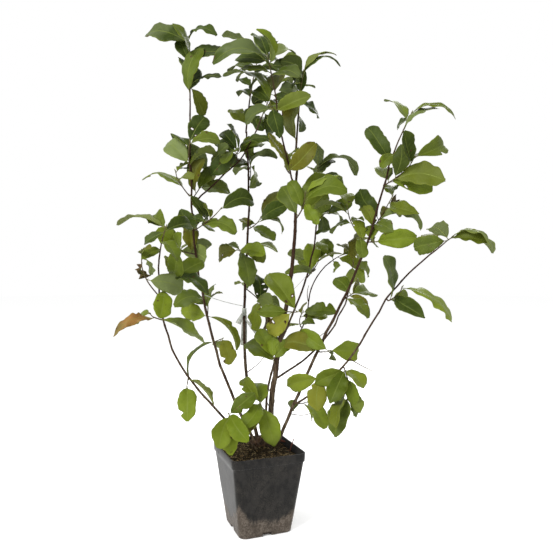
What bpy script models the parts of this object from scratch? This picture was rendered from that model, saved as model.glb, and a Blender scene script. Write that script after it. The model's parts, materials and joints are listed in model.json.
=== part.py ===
"""A young pinkie magnolia, a shrub of six stems, in a square plastic nursery pot.

The frame is the pot's own: the origin is the middle of its flat underside, +Z is up, and a
viewer in front of the plant looks along +Y with +X to the right. Sizes are metres.

Each stem and bough is one tapering limb. Each mass of foliage is a twig that leaves its limb
0.3 mm clear, with its leaves fused on. A leaf is noted by the hour it points to on a clock face
seen from the front, how its blade faces, the length that the viewer sees in millimetres and, after
an @, how many tenths along the twig it sits. The rules below turn that note into a whole leaf, which
leans away from the viewer or towards them by what is left over.
"""

import random
from collections import namedtuple
from math import acos, cos, degrees, exp, pi, radians, sin, tau

import bmesh
import bpy
from mathutils import Matrix, Vector
from mathutils.bvhtree import BVHTree

CLEARANCE = 0.0003

# The pot: a square nursery pot of about five litres, half widths measured to its flat sides
POT_TURN = radians(21)
POT_HEIGHT = 0.200
RIM_HALF = 0.095
BAND_HEIGHT = 0.021
BAND_STEP = 0.0038
BASE_HALF = 0.0685
FOOT_CHAMFER = 0.0028
WALL = 0.0017
FLOOR = 0.003
RIM_CORNER = 0.012
BASE_CORNER = 0.018
CORNER_STEPS = 4
DRAIN_WIDTH = 0.024
DRAIN_HEIGHT = 0.0095
DRAIN_DEPTH = 0.011
DRAIN_COVER = 0.0032

# The soil: level where the stems stand, and a little lower along the walls
SOIL_TOP = 0.188
SOIL_EDGE = 0.183
SOIL_LEVEL_HALF = 0.066
SOIL_CORNER = 0.012

# The limbs
LIMB_SIDES = 6
LIMB_STEP = 0.060
LIMB_STEPS_LEAST = 9
FLARE = 0.55
FLARE_REACH = 0.012
COLLAR = 1.5

# The twigs and leaves
TWIG_SIDES = 3
TWIG_FOOT = 0.0016
TWIG_TIP = 0.0010
TWIG_STEPS = 3
TWIG_BOW = 0.12
TWIG_LEANS = (0, 12, -12, 24, -24, 40, -40, 60, -60)
BUD = 0.006
FIRST_LEAF = 0.05
LAST_LEAF = 0.90
LEAF_STAGGER = 0.0125
LEAF_LENGTH = 0.104
LEAF_SPREAD = 0.06
LEAF_SHARE = 0.58
LEAF_WIDTH = 0.50
LEAF_THICKNESS = 0.016
LEAF_FOLD = radians(20)
PETIOLE_SHARE = 0.09
PETIOLE_RADIUS = 0.0009
BLADE_STATIONS = (0.36, 0.75)
BLADE_WIDEST = 0.52
BASE_TAPER = 0.85
TIP_TAPER = 0.78
LEAF_ROOM = 0.0007

# How a blade faces the viewer: how far it is rolled from broadside, whether its upper side shows, and
# the range of its curl in radians. b is broad, h half turned, e edgeways, a arched and s slim. u and v
# show the under side.
FACING = {
    "b": (radians(14), True, (0.5, 1.1)),
    "h": (radians(42), True, (0.6, 1.3)),
    "e": (radians(68), True, (0.6, 1.3)),
    "a": (radians(56), True, (1.7, 2.2)),
    "s": (radians(78), True, (0.9, 1.4)),
    "u": (radians(16), False, (0.4, 0.9)),
    "v": (radians(50), False, (0.5, 1.1)),
}

# A stem stands on the soil at its foot. A bough leaves its host at that fraction of its length.
Stem = namedtuple("Stem", "foot tip bow sway foot_radius tip_radius")
Bough = namedtuple("Bough", "host at tip bow sway foot_radius tip_radius")
Shoot = namedtuple("Shoot", "host at hour lean reach leaves")

LIMBS = {
    "stem_west": Stem(
        (-0.006, 0.036), (-0.178, 0.040, 1.095), (-0.065, 0.030, -0.022), (-0.002, 0, -0.010),
        0.0042, 0.0020,
    ),
    "stem_centre_west": Stem(
        (0.000, 0.062), (-0.038, 0.170, 1.042), (-0.022, 0.030, -0.024), (-0.012, 0, -0.006),
        0.0050, 0.0022,
    ),
    "stem_centre": Stem(
        (0.022, 0.042), (0.097, 0.020, 0.960), (0.014, -0.040, 0.002), (-0.007, 0, 0.004),
        0.0080, 0.0026,
    ),
    "stem_inner": Stem(
        (0.020, 0.070), (0.164, 0.170, 0.864), (-0.008, 0.020, -0.018), (-0.023, 0, 0.002),
        0.0036, 0.0020,
    ),
    "stem_east": Stem(
        (0.046, 0.036), (0.324, -0.040, 0.903), (0.019, -0.030, 0.013), (-0.005, 0, 0.009),
        0.0044, 0.0022,
    ),
    "stem_west_low": Stem(
        (-0.004, 0.010), (-0.219, -0.160, 0.671), (-0.065, -0.030, -0.008), (0.003, 0, 0.005),
        0.0033, 0.0018,
    ),
    "bough_centre": Bough(
        "stem_centre", 0.865, (0.045, -0.060, 1.072), (-0.006, -0.012, 0.001), (0, 0, 0),
        0.0024, 0.0017,
    ),
    "bough_west": Bough(
        "stem_west", 0.710, (-0.009, 0.100, 1.026), (0.007, 0.010, -0.008), (-0.004, 0, 0.003),
        0.0022, 0.0017,
    ),
    "bough_inner": Bough(
        "stem_inner", 0.395, (0.191, 0.230, 0.662), (0.012, 0.012, -0.012), (0.013, 0, -0.008),
        0.0020, 0.0016,
    ),
    "bough_east": Bough(
        "stem_centre", 0.235, (0.252, 0.110, 0.635), (0.036, 0.030, -0.030), (-0.003, 0, -0.001),
        0.0029, 0.0017,
    ),
    "bough_east_low": Bough(
        "stem_east", 0.155, (0.397, -0.160, 0.688), (0.014, -0.030, 0.008), (0.013, 0, -0.010),
        0.0028, 0.0017,
    ),
}

SHOOTS = {
    "foliage_west_top": Shoot(
        "stem_west", 1, 11.95, 0, 0.149,
        "0.5h114@0 11.55h122@0 2.2e84@1 3.2b108@7 9.45b118@10 3a76@10 10.3e84@9 11.2e58@6 5.2h62@0",
    ),
    "foliage_west_upper": Shoot(
        "stem_west", 0.80, 0.1, -25, 0.079, "10.5b95@2 0.2h50@3 1.6s58@1 0.8b78@10 10.2h60@8"
    ),
    "foliage_west_high": Shoot(
        "stem_west", 0.725, 0.8, 25, 0.124, "3v72@3 0.4h80@1 0.9h68@3 10.8u72@8 1.1b60@9 1.7h58@10 3.6h50@4"
    ),
    "foliage_west_spur": Shoot(
        "stem_west", 0.735, 11.05, -20, 0.072, "4.7h50@0 9.9s128@1 1.8e56@10 3.2h48@6"
    ),
    "foliage_west_mid": Shoot(
        "stem_west", 0.575, 9.5, 30, 0.058, "11.6b80@1 10.5b78@8 2.5v74@6 3.6u72@10 2.4s72@9 0.3h60@5"
    ),
    "foliage_west_inner": Shoot(
        "stem_west", 0.64, 1.83, -30, 0.105, "11.5b66@0 3.4h90@2 2.35b92@10 0.3h48@1 9.2h50@3"
    ),
    "foliage_west_waist": Shoot(
        "stem_west", 0.40, 11.75, 35, 0.057, "9.1b73@0 4.6s117@0 0.45h66@4 8.8h80@10 8.9e60@6"
    ),
    "foliage_west_knee": Shoot("stem_west", 0.33, 2.2, -30, 0.026, "7.4s112@0 5.2b66@10 6.5b60@9"),
    "foliage_low_west_top": Shoot(
        "stem_west_low", 1, 0.35, 10, 0.078, "9.45s116@10 10.75b70@10 2.2h54@8 4.4h60@4"
    ),
    "foliage_low_west_side": Shoot("stem_west_low", 0.85, 11.48, -20, 0.113, "3.7b76@4"),
    "foliage_low_west_mid": Shoot(
        "stem_west_low", 0.86, 1.0, 30, 0.052, "6.2b64@2 3.4h92@9 1.9b86@7 0.6b62@10 11.6h60@8"
    ),
    "foliage_low_west_left": Shoot("stem_west_low", 0.745, 10, -10, 0.030, "8.1e54@10 8.3b88@4 4e112@1"),
    "foliage_low_west_foot": Shoot("stem_west_low", 0.44, 6.2, -25, 0.020, "5.7b68@10 4.2s80@0"),
    "foliage_foot_left": Shoot("stem_west_low", 0.19, 12.5, -55, 0.040, "6.6b70@7 4.5b80@10 5.6b80@0"),
    "foliage_foot_centre": Shoot(
        "stem_centre", 0.12, 11, -50, 0.067, "10.6b72@10 7.4b84@9 7.4b62@10 5.35b95@7 11.5b50@8"
    ),
    "foliage_foot_east": Shoot("stem_east", 0.15, 2.6, -30, 0.030, "4.65h64@10"),
    "foliage_low": Shoot("stem_centre", 0.285, 11.5, -35, 0.020, "10.1h92@0 11h74@6"),
    "foliage_mid": Shoot("stem_centre", 0.46, 2.9, -30, 0.028, "7.6b64@4 10.8b122@10"),
    "foliage_fork": Shoot("stem_centre", 0.775, 0.6, -35, 0.072, "11.6b92@0 1.2b125@1 2.1a108@9 2.4h96@7"),
    "foliage_centre_low": Shoot(
        "stem_centre_west", 0.505, 4.7, 25, 0.064, "11.7b84@10 6.15h74@8 3.3v56@9 3.7b50@6"
    ),
    "foliage_centre_waist": Shoot(
        "stem_centre_west", 0.625, 9.2, -35, 0.024, "8.4b68@10 3.4b80@8 5.5h106@9 3s92@0 9.5e62@5"
    ),
    "foliage_centre_mid": Shoot(
        "stem_centre_west", 0.695, 1.4, 20, 0.050, "1.3b104@10 2.1b86@8 3.5a78@5 4.1h72@1"
    ),
    "foliage_centre_upper": Shoot(
        "stem_centre_west", 0.845, 12, 40, 0.090, "3.3e50@0 2.6a78@7 5.9s72@8 0.1h50@10 9.5e50@4 8.4h58@9"
    ),
    "foliage_centre_top": Shoot(
        "stem_centre_west", 1, 0.3, 6, 0.220,
        "10.8b78@0 0.8b86@0 10.5h52@3 2.2h60@4 10.3s128@10 0.75b98@9 9.4h86@7 3.3h70@6 8.3h64@8 4.3b62@3 "
        "2.9h66@9",
    ),
    "foliage_fork_west_mid": Shoot("bough_centre", 0.18, 11, -30, 0.025, "10.9h104@4 1.5b84@2 0.7h74@0"),
    "foliage_fork_west_high": Shoot("bough_centre", 0.84, 10.2, -20, 0.020, "10.2a148@8 2.4b80@0 8.4h72@5"),
    "foliage_fork_west_top": Shoot(
        "bough_centre", 1, 11.6, -6, 0.092,
        "0.3b76@0 9.3a134@5 10.25h80@8 11.5e62@7 1.8h76@9 11.4b84@10 8.6h50@4 3.4h62@3 2.6b58@6 0.9h58@10",
    ),
    "foliage_fork_east_top": Shoot(
        "stem_centre", 1, 0.19, 0, 0.197,
        "0.05h134@0 8.7b84@6 10.75b84@10 9.7b78@9 7.2h60@8 2a102@10 2.15a108@9 10b66@5 3.6h58@4",
    ),
    "foliage_bough_west_mid": Shoot(
        "bough_west", 0.65, 0.3, 20, 0.030,
        "7.75b94@7 2.6a108@8 10.1b76@6 1.9b84@5 10.8b80@8 11.1e62@10 7.4h54@9",
    ),
    "foliage_bough_west_top": Shoot(
        "bough_west", 1, 0.62, 20, 0.142,
        "1.35h50@0 3.05a86@2 5.2b58@3 1.9b84@3 9.9h56@5 0.3b66@8 3.6b86@8 11.2h60@10 8.9h66@9 1.6h72@10",
    ),
    "foliage_inner_mid": Shoot(
        "stem_inner", 0.68, 1.2, 30, 0.066, "0.1b88@3 11.3h66@1 9.8v88@7 2.2e66@10 0.4b68@10 9.4a60@0"
    ),
    "foliage_inner_high": Shoot("stem_inner", 0.93, 3, 30, 0.035, "3.6a72@1 8e60@10 5.8b60@2 2.4h66@9"),
    "foliage_inner_top": Shoot(
        "stem_inner", 1, 0, 8, 0.077, "6.2b92@0 5.9b84@1 3a116@10 9.5e60@6 11.8u60@10 0.8h74@3 4.2h70@4"
    ),
    "foliage_thin_mid": Shoot("bough_inner", 0.30, 12.4, 30, 0.048, "2.6b88@6 2.8h92@10"),
    "foliage_thin_top": Shoot("bough_inner", 1, 1.93, 15, 0.066, "2.3e52@10 4.1b84@6 3.1h66@8"),
    "foliage_bough_east_top": Shoot("bough_east", 1, 0.3, 10, 0.055, "0.5h112@5 10.4h50@10 4e60@3"),
    "foliage_east_low": Shoot("stem_east", 0.335, 2.5, -35, 0.030, "9.5h82@0 10.2b68@9 3.15b84@10"),
    "foliage_east_mid": Shoot("stem_east", 0.53, 2, 35, 0.032, "3.05h66@10 10.6b50@9 2b52@10 4.3h62@0"),
    "foliage_east_waist": Shoot("stem_east", 0.745, 3, -30, 0.018, "9.7e50@5 2.8b86@10 0.4h60@4"),
    "foliage_east_twig": Shoot("stem_east", 0.735, 11.28, 20, 0.113, "9.6s88@8 11.9b50@10 8.4e50@5"),
    "foliage_east_upper": Shoot(
        "stem_east", 0.785, 1.1, 20, 0.115,
        "10.9e56@1 11.1b90@3 2.3b72@3 3.2a110@2 4.2b54@1 3.8b70@8 1h48@10",
    ),
    "foliage_east_side": Shoot(
        "stem_east", 0.945, 1.54, -15, 0.093, "2.65b127@0 0.1b68@0 11.2h58@4 11.1b72@8 2.1b96@10 3.3b116@1"
    ),
    "foliage_east_top": Shoot("stem_east", 1, 0.75, -4, 0.139, "11.05b108@0 2.1a84@6 11h82@8 3.2a100@10"),
    "foliage_far_east_mid": Shoot(
        "bough_east_low", 0.68, 1.4, -15, 0.045, "3.3b62@0 4.1b66@2 3.95s148@10 11.6e116@0"
    ),
    "foliage_far_east_tip": Shoot(
        "bough_east_low", 1, 1.7, -6, 0.056, "0.65h50@0 9.9v62@8 8.6b50@7 3.7a80@10 3.6s108@10 3.2h50@9"
    ),
    "foliage_skirt_inner": Shoot("bough_east_low", 0.17, 10.8, -30, 0.025, "8.3b86@10 6.3b66@8"),
    "foliage_skirt": Shoot(
        "bough_east_low", 0.29, 5.9, -15, 0.078, "7b82@0 4.6h50@0 6.4e80@5 6.7b94@9 4.9h62@10 7.2e70@10"
    ),
}

PLASTIC = ("pot_plastic", (0.022, 0.023, 0.024, 1), 0.55)
SOIL = ("soil", (0.055, 0.036, 0.024, 1), 0.95)
BARK = ("bark", (0.105, 0.070, 0.052, 1), 0.80)
LEAF = ("leaf", (0.090, 0.190, 0.045, 1), 0.45)


def clear_scene():
    for item in list(bpy.data.objects):
        bpy.data.objects.remove(item)


def material(name, colour, roughness):
    """The finish of that name, made on first use."""
    found = bpy.data.materials.get(name)
    if found:
        return found
    finish = bpy.data.materials.new(name)
    finish.use_nodes = True
    shader = finish.node_tree.nodes["Principled BSDF"]
    shader.inputs["Base Color"].default_value = colour
    shader.inputs["Roughness"].default_value = roughness
    return finish


def sweep(rings, point=None):
    """A closed body: one face extruded from ring to ring, and drawn to a point if one is given."""
    bm = bmesh.new()
    face = bm.faces.new([bm.verts.new(place) for place in rings[0]])
    followers = list(rings[1:]) + ([rings[-1]] if point else [])
    for index, ring in enumerate(followers):
        made = bmesh.ops.extrude_face_region(bm, geom=[face])["geom"]
        ahead = next(part for part in made if isinstance(part, bmesh.types.BMFace))
        for vert, place in zip(ahead.verts, ring):
            vert.co = place
        if index:
            bmesh.ops.delete(bm, geom=[face], context="FACES_ONLY")
        face = ahead
    if point:
        bmesh.ops.pointmerge(bm, verts=list(face.verts), merge_co=point)
    bmesh.ops.recalc_face_normals(bm, faces=bm.faces)
    bmesh.ops.triangulate(bm, faces=bm.faces)
    return bm


def solid(bm, name, look):
    """An object of that name from a bmesh, with its finish."""
    mesh = bpy.data.meshes.new(name)
    bm.to_mesh(mesh)
    bm.free()
    mesh.materials.append(material(*look))
    made = bpy.data.objects.new(name, mesh)
    bpy.context.collection.objects.link(made)
    return made


def join(base, pieces, operation="UNION"):
    """One Boolean on a collection, applied to the base. Loose scraps and sealed hollows are dropped."""
    group = bpy.data.collections.new("joined_to_" + base.name)
    bpy.context.scene.collection.children.link(group)
    for piece in pieces:
        for holder in list(piece.users_collection):
            holder.objects.unlink(piece)
        group.objects.link(piece)
    boolean = base.modifiers.new("join", "BOOLEAN")
    boolean.operation = operation
    boolean.solver = "EXACT"
    boolean.operand_type = "COLLECTION"
    boolean.collection = group
    joined = base.evaluated_get(bpy.context.evaluated_depsgraph_get())
    mesh = bpy.data.meshes.new_from_object(joined)
    base.modifiers.remove(boolean)
    base.data = mesh
    for piece in pieces:
        bpy.data.objects.remove(piece)
    bpy.data.collections.remove(group)
    keep_largest_shell(mesh)


def keep_largest_shell(mesh):
    bm = bmesh.new()
    bm.from_mesh(mesh)
    bmesh.ops.triangulate(bm, faces=bm.faces)
    bmesh.ops.dissolve_degenerate(bm, dist=CLEARANCE / 30, edges=bm.edges)
    bmesh.ops.triangulate(bm, faces=bm.faces)
    shells = []
    unseen = set(bm.verts)
    while unseen:
        reached = {unseen.pop()}
        edge_of_reach = list(reached)
        while edge_of_reach:
            vert = edge_of_reach.pop()
            for edge in vert.link_edges:
                other = edge.other_vert(vert)
                if other in unseen:
                    unseen.remove(other)
                    reached.add(other)
                    edge_of_reach.append(other)
        shells.append(reached)
    largest = max(shells, key=len)
    bmesh.ops.delete(bm, geom=[v for v in bm.verts if v not in largest], context="VERTS")
    bm.to_mesh(mesh)
    bm.free()


def rounded_square(half, corner, height):
    """A ring round a square with round corners, counter-clockwise from above."""
    ring = []
    for quarter in range(4):
        middle = Matrix.Rotation(quarter * pi / 2, 3, "Z") @ Vector((half - corner, half - corner, 0))
        for step in range(CORNER_STEPS + 1):
            turn = (quarter + step / CORNER_STEPS) * pi / 2
            ring.append(middle + Vector((corner * cos(turn), corner * sin(turn), height)))
    return ring


def inner_half(height):
    """The half width of the pot's inside at a height below its band."""
    rise = (height - FOOT_CHAMFER) / (POT_HEIGHT - BAND_HEIGHT - FOOT_CHAMFER)
    outer = BASE_HALF + (RIM_HALF - BAND_STEP - BASE_HALF) * rise
    return outer - WALL


def build_pot():
    """One skin from the underside up the walls, round the band and the rim, and down the inside."""
    shoulder = POT_HEIGHT - BAND_HEIGHT
    lip = 0.0008
    rings = [
        rounded_square(BASE_HALF - FOOT_CHAMFER, BASE_CORNER, 0),
        rounded_square(BASE_HALF, BASE_CORNER, FOOT_CHAMFER),
        rounded_square(RIM_HALF - BAND_STEP, RIM_CORNER, shoulder),
        rounded_square(RIM_HALF - lip, RIM_CORNER + BAND_STEP, shoulder),
        rounded_square(RIM_HALF, RIM_CORNER + BAND_STEP, POT_HEIGHT - lip),
        rounded_square(RIM_HALF - lip, RIM_CORNER + BAND_STEP, POT_HEIGHT),
        rounded_square(RIM_HALF - lip - WALL, RIM_CORNER + BAND_STEP - WALL, POT_HEIGHT),
        rounded_square(inner_half(shoulder), RIM_CORNER - WALL, shoulder - WALL),
        rounded_square(inner_half(FLOOR), BASE_CORNER - WALL, FLOOR),
    ]
    pot = solid(sweep(rings), "pot", PLASTIC)
    covers, drains = [], []
    for quarter in range(4):
        turn = Matrix.Rotation(quarter * pi / 2, 4, "Z")
        wide, deep = DRAIN_WIDTH + 2 * DRAIN_COVER, DRAIN_DEPTH + DRAIN_COVER
        high = DRAIN_HEIGHT + DRAIN_COVER - FLOOR / 2
        cover_middle = (0, -(BASE_HALF - FOOT_CHAMFER / 2 - deep / 2), FLOOR / 2 + high / 2)
        covers.append(block("cover", turn, cover_middle, (wide, deep, high)))
        drain_size = (DRAIN_WIDTH, 2 * DRAIN_DEPTH, 2 * DRAIN_HEIGHT)
        drains.append(block("drain", turn, (0, -BASE_HALF, 0), drain_size))
    join(pot, covers)
    join(pot, drains, "DIFFERENCE")
    pot.rotation_euler.z = POT_TURN
    return pot


def block(name, turn, middle, size):
    bm = bmesh.new()
    placed = turn @ Matrix.Translation(middle) @ Matrix.Diagonal((*size, 1))
    bmesh.ops.create_cube(bm, size=1, matrix=placed)
    return solid(bm, name, PLASTIC)


def build_soil():
    """The root ball fills the pot. It rests on the covers of the four drains."""
    rest = DRAIN_HEIGHT + DRAIN_COVER + CLEARANCE
    beside = 1.5 * CLEARANCE
    shoulder = POT_HEIGHT - BAND_HEIGHT - WALL
    rings = [
        rounded_square(inner_half(rest) - beside, BASE_CORNER - WALL, rest),
        rounded_square(inner_half(shoulder) - beside, RIM_CORNER - WALL, shoulder),
        rounded_square(inner_half(shoulder) - beside, RIM_CORNER - WALL, SOIL_EDGE),
        rounded_square(SOIL_LEVEL_HALF, SOIL_CORNER, SOIL_TOP),
    ]
    soil = solid(sweep(rings), "soil", SOIL)
    soil.rotation_euler.z = POT_TURN
    return soil


def clock(hour, lean):
    """The way that points to an hour seen from the front, leaning away from the viewer by degrees."""
    turn, back = radians(30 * hour), radians(lean)
    return Vector((sin(turn) * cos(back), sin(back), cos(turn) * cos(back)))


def tube(path, radii, sides, start, end=None):
    """Rings of a round bar along a path. start and end are the ways that its two flat ends face."""
    rings = []
    across = start.orthogonal().normalized()
    last = len(path) - 1
    for index, (place, radius) in enumerate(zip(path, radii)):
        ahead = (path[min(index + 1, last)] - path[max(index - 1, 0)]).normalized()
        if index == 0:
            ahead = start
        if index == last and end:
            ahead = end
        across = (across - ahead * across.dot(ahead)).normalized()
        beside = ahead.cross(across)
        turns = [tau * side / sides for side in range(sides)]
        rings.append([place + (across * cos(turn) + beside * sin(turn)) * radius for turn in turns])
    return rings


class Limb:
    """A tapering stem or bough on one smooth curve: a straight run with a bow and a sway added."""

    def __init__(self, foot, tip, bow, sway, foot_radius, tip_radius, start, flare=0.0):
        self.foot, self.tip = Vector(foot), Vector(tip)
        self.bow, self.sway = Vector(bow), Vector(sway)
        self.foot_radius, self.tip_radius = foot_radius, tip_radius
        self.start, self.flare = start, flare
        self.length = (self.tip - self.foot).length
        self.tree = None

    def point(self, share):
        straight = self.foot.lerp(self.tip, share)
        return straight + self.bow * sin(pi * share) + self.sway * sin(tau * share)

    def ahead(self, share):
        return (self.point(min(share + 0.01, 1)) - self.point(max(share - 0.01, 0))).normalized()

    def radius(self, share):
        plain = self.foot_radius + (self.tip_radius - self.foot_radius) * share
        return plain * (1 + self.flare * exp(-share * self.length / FLARE_REACH))

    def rings(self):
        count = max(LIMB_STEPS_LEAST, round(self.length / LIMB_STEP))
        shares = [step / count for step in range(count + 1)]
        if self.flare:
            shares[1:1] = [reach * FLARE_REACH / self.length for reach in (0.5, 1.4)]
        path = [self.point(share) for share in shares]
        radii = [self.radius(share) for share in shares]
        return tube(path, radii, LIMB_SIDES, self.start, self.ahead(1))

    def seat(self, share, way):
        """Where a twig can start, 0.3 mm clear of this limb, and the way its foot faces."""
        if share == 1:
            return self.tip + self.ahead(1) * CLEARANCE, self.ahead(1)
        middle, along = self.point(share), self.ahead(share)
        out = (way - along * way.dot(along)).normalized()
        hit, facet, _, _ = self.tree.ray_cast(middle + out * 4 * self.foot_radius, -out)
        return hit + facet * CLEARANCE, facet


def bvh(bm):
    bm.normal_update()
    return BVHTree.FromBMesh(bm)


def build_limbs():
    limbs = {}
    for name, spec in LIMBS.items():
        if isinstance(spec, Stem):
            foot = Vector((*spec.foot, SOIL_TOP + CLEARANCE))
            start, flare = Vector((0, 0, 1)), FLARE
        else:
            host = limbs[spec.host]
            foot, start = host.seat(spec.at, Vector(spec.tip) - host.point(spec.at))
            foot += start * COLLAR * spec.foot_radius
            flare = 0.0
        limb = Limb(foot, spec.tip, spec.bow, spec.sway, spec.foot_radius, spec.tip_radius, start, flare)
        rings = limb.rings()
        if not flare:
            at_host = [foot - start * COLLAR * spec.foot_radius]
            rings[0:0] = tube(at_host, [spec.foot_radius], LIMB_SIDES, start)
        bm = sweep(rings)
        limb.tree = bvh(bm)
        limbs[name] = limb
        solid(bm, name, BARK)
    return limbs


Leaf = namedtuple("Leaf", "root along normal length width curl")


def spine(leaf, share):
    """A point on the leaf's midrib and the blade's normal there. The midrib is an arc."""
    half, here = leaf.curl / 2, leaf.curl * (0.5 - share)
    run = 0.5 - sin(here) / (2 * sin(half))
    rise = (cos(here) - cos(half)) / (2 * sin(half))
    place = leaf.root + leaf.length * (leaf.along * run + leaf.normal * rise)
    return place, leaf.normal * cos(here) - leaf.along * sin(here)


def half_width(leaf, blade_share):
    """Egg-shaped, widest in the middle, with a tapered base and a pointed tip."""
    shape = (blade_share / BLADE_WIDEST) ** BASE_TAPER
    shape *= ((1 - blade_share) / (1 - BLADE_WIDEST)) ** TIP_TAPER
    return 0.5 * leaf.width * shape


def leaf_body(leaf, room=0.0):
    """The leaf as a closed body: a thin petiole, then a folded blade that is lens-shaped across."""
    side = leaf.along.cross(leaf.normal)
    thick = LEAF_THICKNESS * leaf.length / 2 + room
    stalk = PETIOLE_RADIUS + room
    stations = [(share, stalk, stalk, 0.0) for share in (0.0, PETIOLE_SHARE)]
    for blade_share in BLADE_STATIONS:
        share = PETIOLE_SHARE + (1 - PETIOLE_SHARE) * blade_share
        wide = half_width(leaf, blade_share) + room
        thin = thick * (1.15 - 0.6 * blade_share)
        stations.append((share, wide * cos(LEAF_FOLD), thin, wide * sin(LEAF_FOLD)))
    rings = []
    for share, wide, thin, lift in stations:
        place, up = spine(leaf, share)
        edges, raised = side * wide, place + up * lift
        rings.append([raised + edges, place + up * thin, raised - edges, place - up * thin])
    return sweep(rings, point=spine(leaf, 1.0)[0])


def read_note(note):
    """An hour, a facing letter, the length that shows and the share of the twig below the leaf."""
    facing = next(letter for letter in FACING if letter in note)
    hour, rest = note.split(facing)
    length, tenths = rest.split("@")
    return float(hour), facing, float(length) / 1000, float(tenths) / 10


def grow_leaf(root, note, index, luck):
    """The whole leaf behind a note, before it is nudged clear of its neighbours."""
    hour, facing, shown, _ = note
    roll, upper_shows, curls = FACING[facing]
    whole = max(shown, (1 - LEAF_SHARE) * shown + LEAF_SHARE * LEAF_LENGTH)
    whole *= 1 + luck.uniform(0, LEAF_SPREAD)
    lean = degrees(acos(shown / whole))
    rises = cos(radians(30 * hour))
    away = (rises > 0) == upper_shows
    if abs(rises) < 0.45 or facing == "e" or luck.random() < 0.3:
        away = index % 2 == 0
    width = LEAF_WIDTH * whole * luck.uniform(0.92, 1.1)
    curl = luck.uniform(*curls)
    return root, hour, lean if away else -lean, roll, upper_shows, whole, width, curl


def face_leaf(root, hour, lean, roll, upper_shows, whole, width, curl):
    """Turns the blade about its midrib: broadside to the viewer, then rolled with its upper side up."""
    along = clock(hour, lean)
    viewer = Vector((0, -1, 0))
    normal = (viewer - along * viewer.dot(along)).normalized()
    beside = along.cross(normal)
    if not upper_shows:
        normal = -normal
    if beside.z < 0 or (abs(beside.z) < 0.05 and beside.x < 0):
        beside = -beside
    normal = normal * cos(roll) + beside * sin(roll)
    return Leaf(root, along, normal, whole, width, curl)


def nudges():
    """Changes of lean, hour and roll for a leaf that has no room, the gentlest first."""
    leans = (0, 9, -9, 18, -18, 28, -28, 40, -40, 55, -55)
    hours, rolls = (0, 0.25, -0.25, 0.5, -0.5), (0, 20, -20, 40)
    options = [(lean, hour, roll) for lean in leans for hour in hours for roll in rolls]
    return sorted(options, key=lambda change: abs(change[0]) + 50 * abs(change[1]) + 0.6 * abs(change[2]))


def leaf_trees(leaf, room=0.0):
    """Search trees of the whole leaf and of its blade alone."""
    body = leaf_body(leaf, room)
    whole = bvh(body)
    blade_start = spine(leaf, PETIOLE_SHARE * 1.3)[0]
    behind = [vert for vert in body.verts if (vert.co - blade_start).dot(leaf.along) < 0]
    bmesh.ops.delete(body, geom=behind, context="VERTS")
    blade = bvh(body)
    body.free()
    return whole, blade


def place_leaf(grown, walls, twig_tree, own_blades):
    """The first nudge that keeps a leaf clear of walls, and its blade of its own twig and neighbours."""
    root, hour, lean, roll, upper_shows, whole, width, curl = grown
    for more_lean, more_hour, more_roll in NUDGES:
        new_lean = max(-80, min(80, lean + more_lean))
        leaf = face_leaf(
            root, hour + more_hour, new_lean, roll + radians(more_roll), upper_shows, whole, width, curl
        )
        tree, blade = leaf_trees(leaf, LEAF_ROOM)
        if blade.overlap(twig_tree) or any(own.overlap(tree) for own in own_blades):
            continue
        if not any(tree.overlap(wall) for wall in walls):
            return leaf
    return None


def twig_path(foot, facing, way, reach, foot_radius):
    """Out of the host, then round into its own way with a slight upward bow."""
    collar = foot + facing * COLLAR * foot_radius
    path = [foot]
    for step in range(TWIG_STEPS + 1):
        share = step / TWIG_STEPS
        path.append(collar + (way * share + facing * TWIG_BOW * sin(pi * share)) * reach)
    return path


def along_path(path, share):
    """A point on the twig past its collar."""
    place = share * (len(path) - 2)
    index = min(int(place), len(path) - 3)
    return path[index + 1].lerp(path[index + 2], place - index)


def grow_twig(name, shoot, limbs, walls):
    """The twig of one mass, leaned until it has room. The search tree goes onto the walls."""
    host = limbs[shoot.host]
    foot_radius = host.tip_radius if shoot.at == 1 else TWIG_FOOT
    taper = [foot_radius + (TWIG_TIP - foot_radius) * step / TWIG_STEPS for step in range(TWIG_STEPS + 1)]
    for more_lean in TWIG_LEANS:
        way = clock(shoot.hour, shoot.lean + more_lean)
        foot, facing = host.seat(shoot.at, way)
        path = twig_path(foot, facing, way, shoot.reach, foot_radius)
        body = sweep(tube(path, [foot_radius] + taper, TWIG_SIDES, facing), point=path[-1] + way * BUD)
        tree = bvh(body)
        if not any(tree.overlap(wall) for wall in walls.values()):
            walls[name] = tree
            return path, body
        body.free()
    raise ValueError("no room for the twig of " + name)


def grow_mass(name, shoot, path, twig, walls):
    """One mass of foliage: its twig, and the leaves that find room, fused on."""
    luck = random.Random(name)
    notes = [read_note(word) for word in shoot.leaves.split()]
    others = [wall for owner, wall in walls.items() if owner != name]
    pieces, own_blades = [], []
    for index, note in sorted(enumerate(notes), key=lambda numbered: -numbered[1][2]):
        share = FIRST_LEAF + (LAST_LEAF - FIRST_LEAF) * note[3] + LEAF_STAGGER * index
        grown = grow_leaf(along_path(path, share), note, index, luck)
        leaf = place_leaf(grown, others, walls[name], own_blades)
        if leaf is None:
            print("no room for leaf", index + 1, "of", name)
            continue
        whole_tree, blade_tree = leaf_trees(leaf)
        walls[f"{name} leaf {index}"] = whole_tree
        own_blades.append(blade_tree)
        pieces.append(solid(leaf_body(leaf), "leaf", LEAF))
    join(solid(twig, name, LEAF), pieces)
    return len(pieces)


def world_tree(item):
    bm = bmesh.new()
    bm.from_mesh(item.data)
    bm.transform(Matrix.Rotation(POT_TURN, 4, "Z"))
    tree = bvh(bm)
    bm.free()
    return tree


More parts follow.
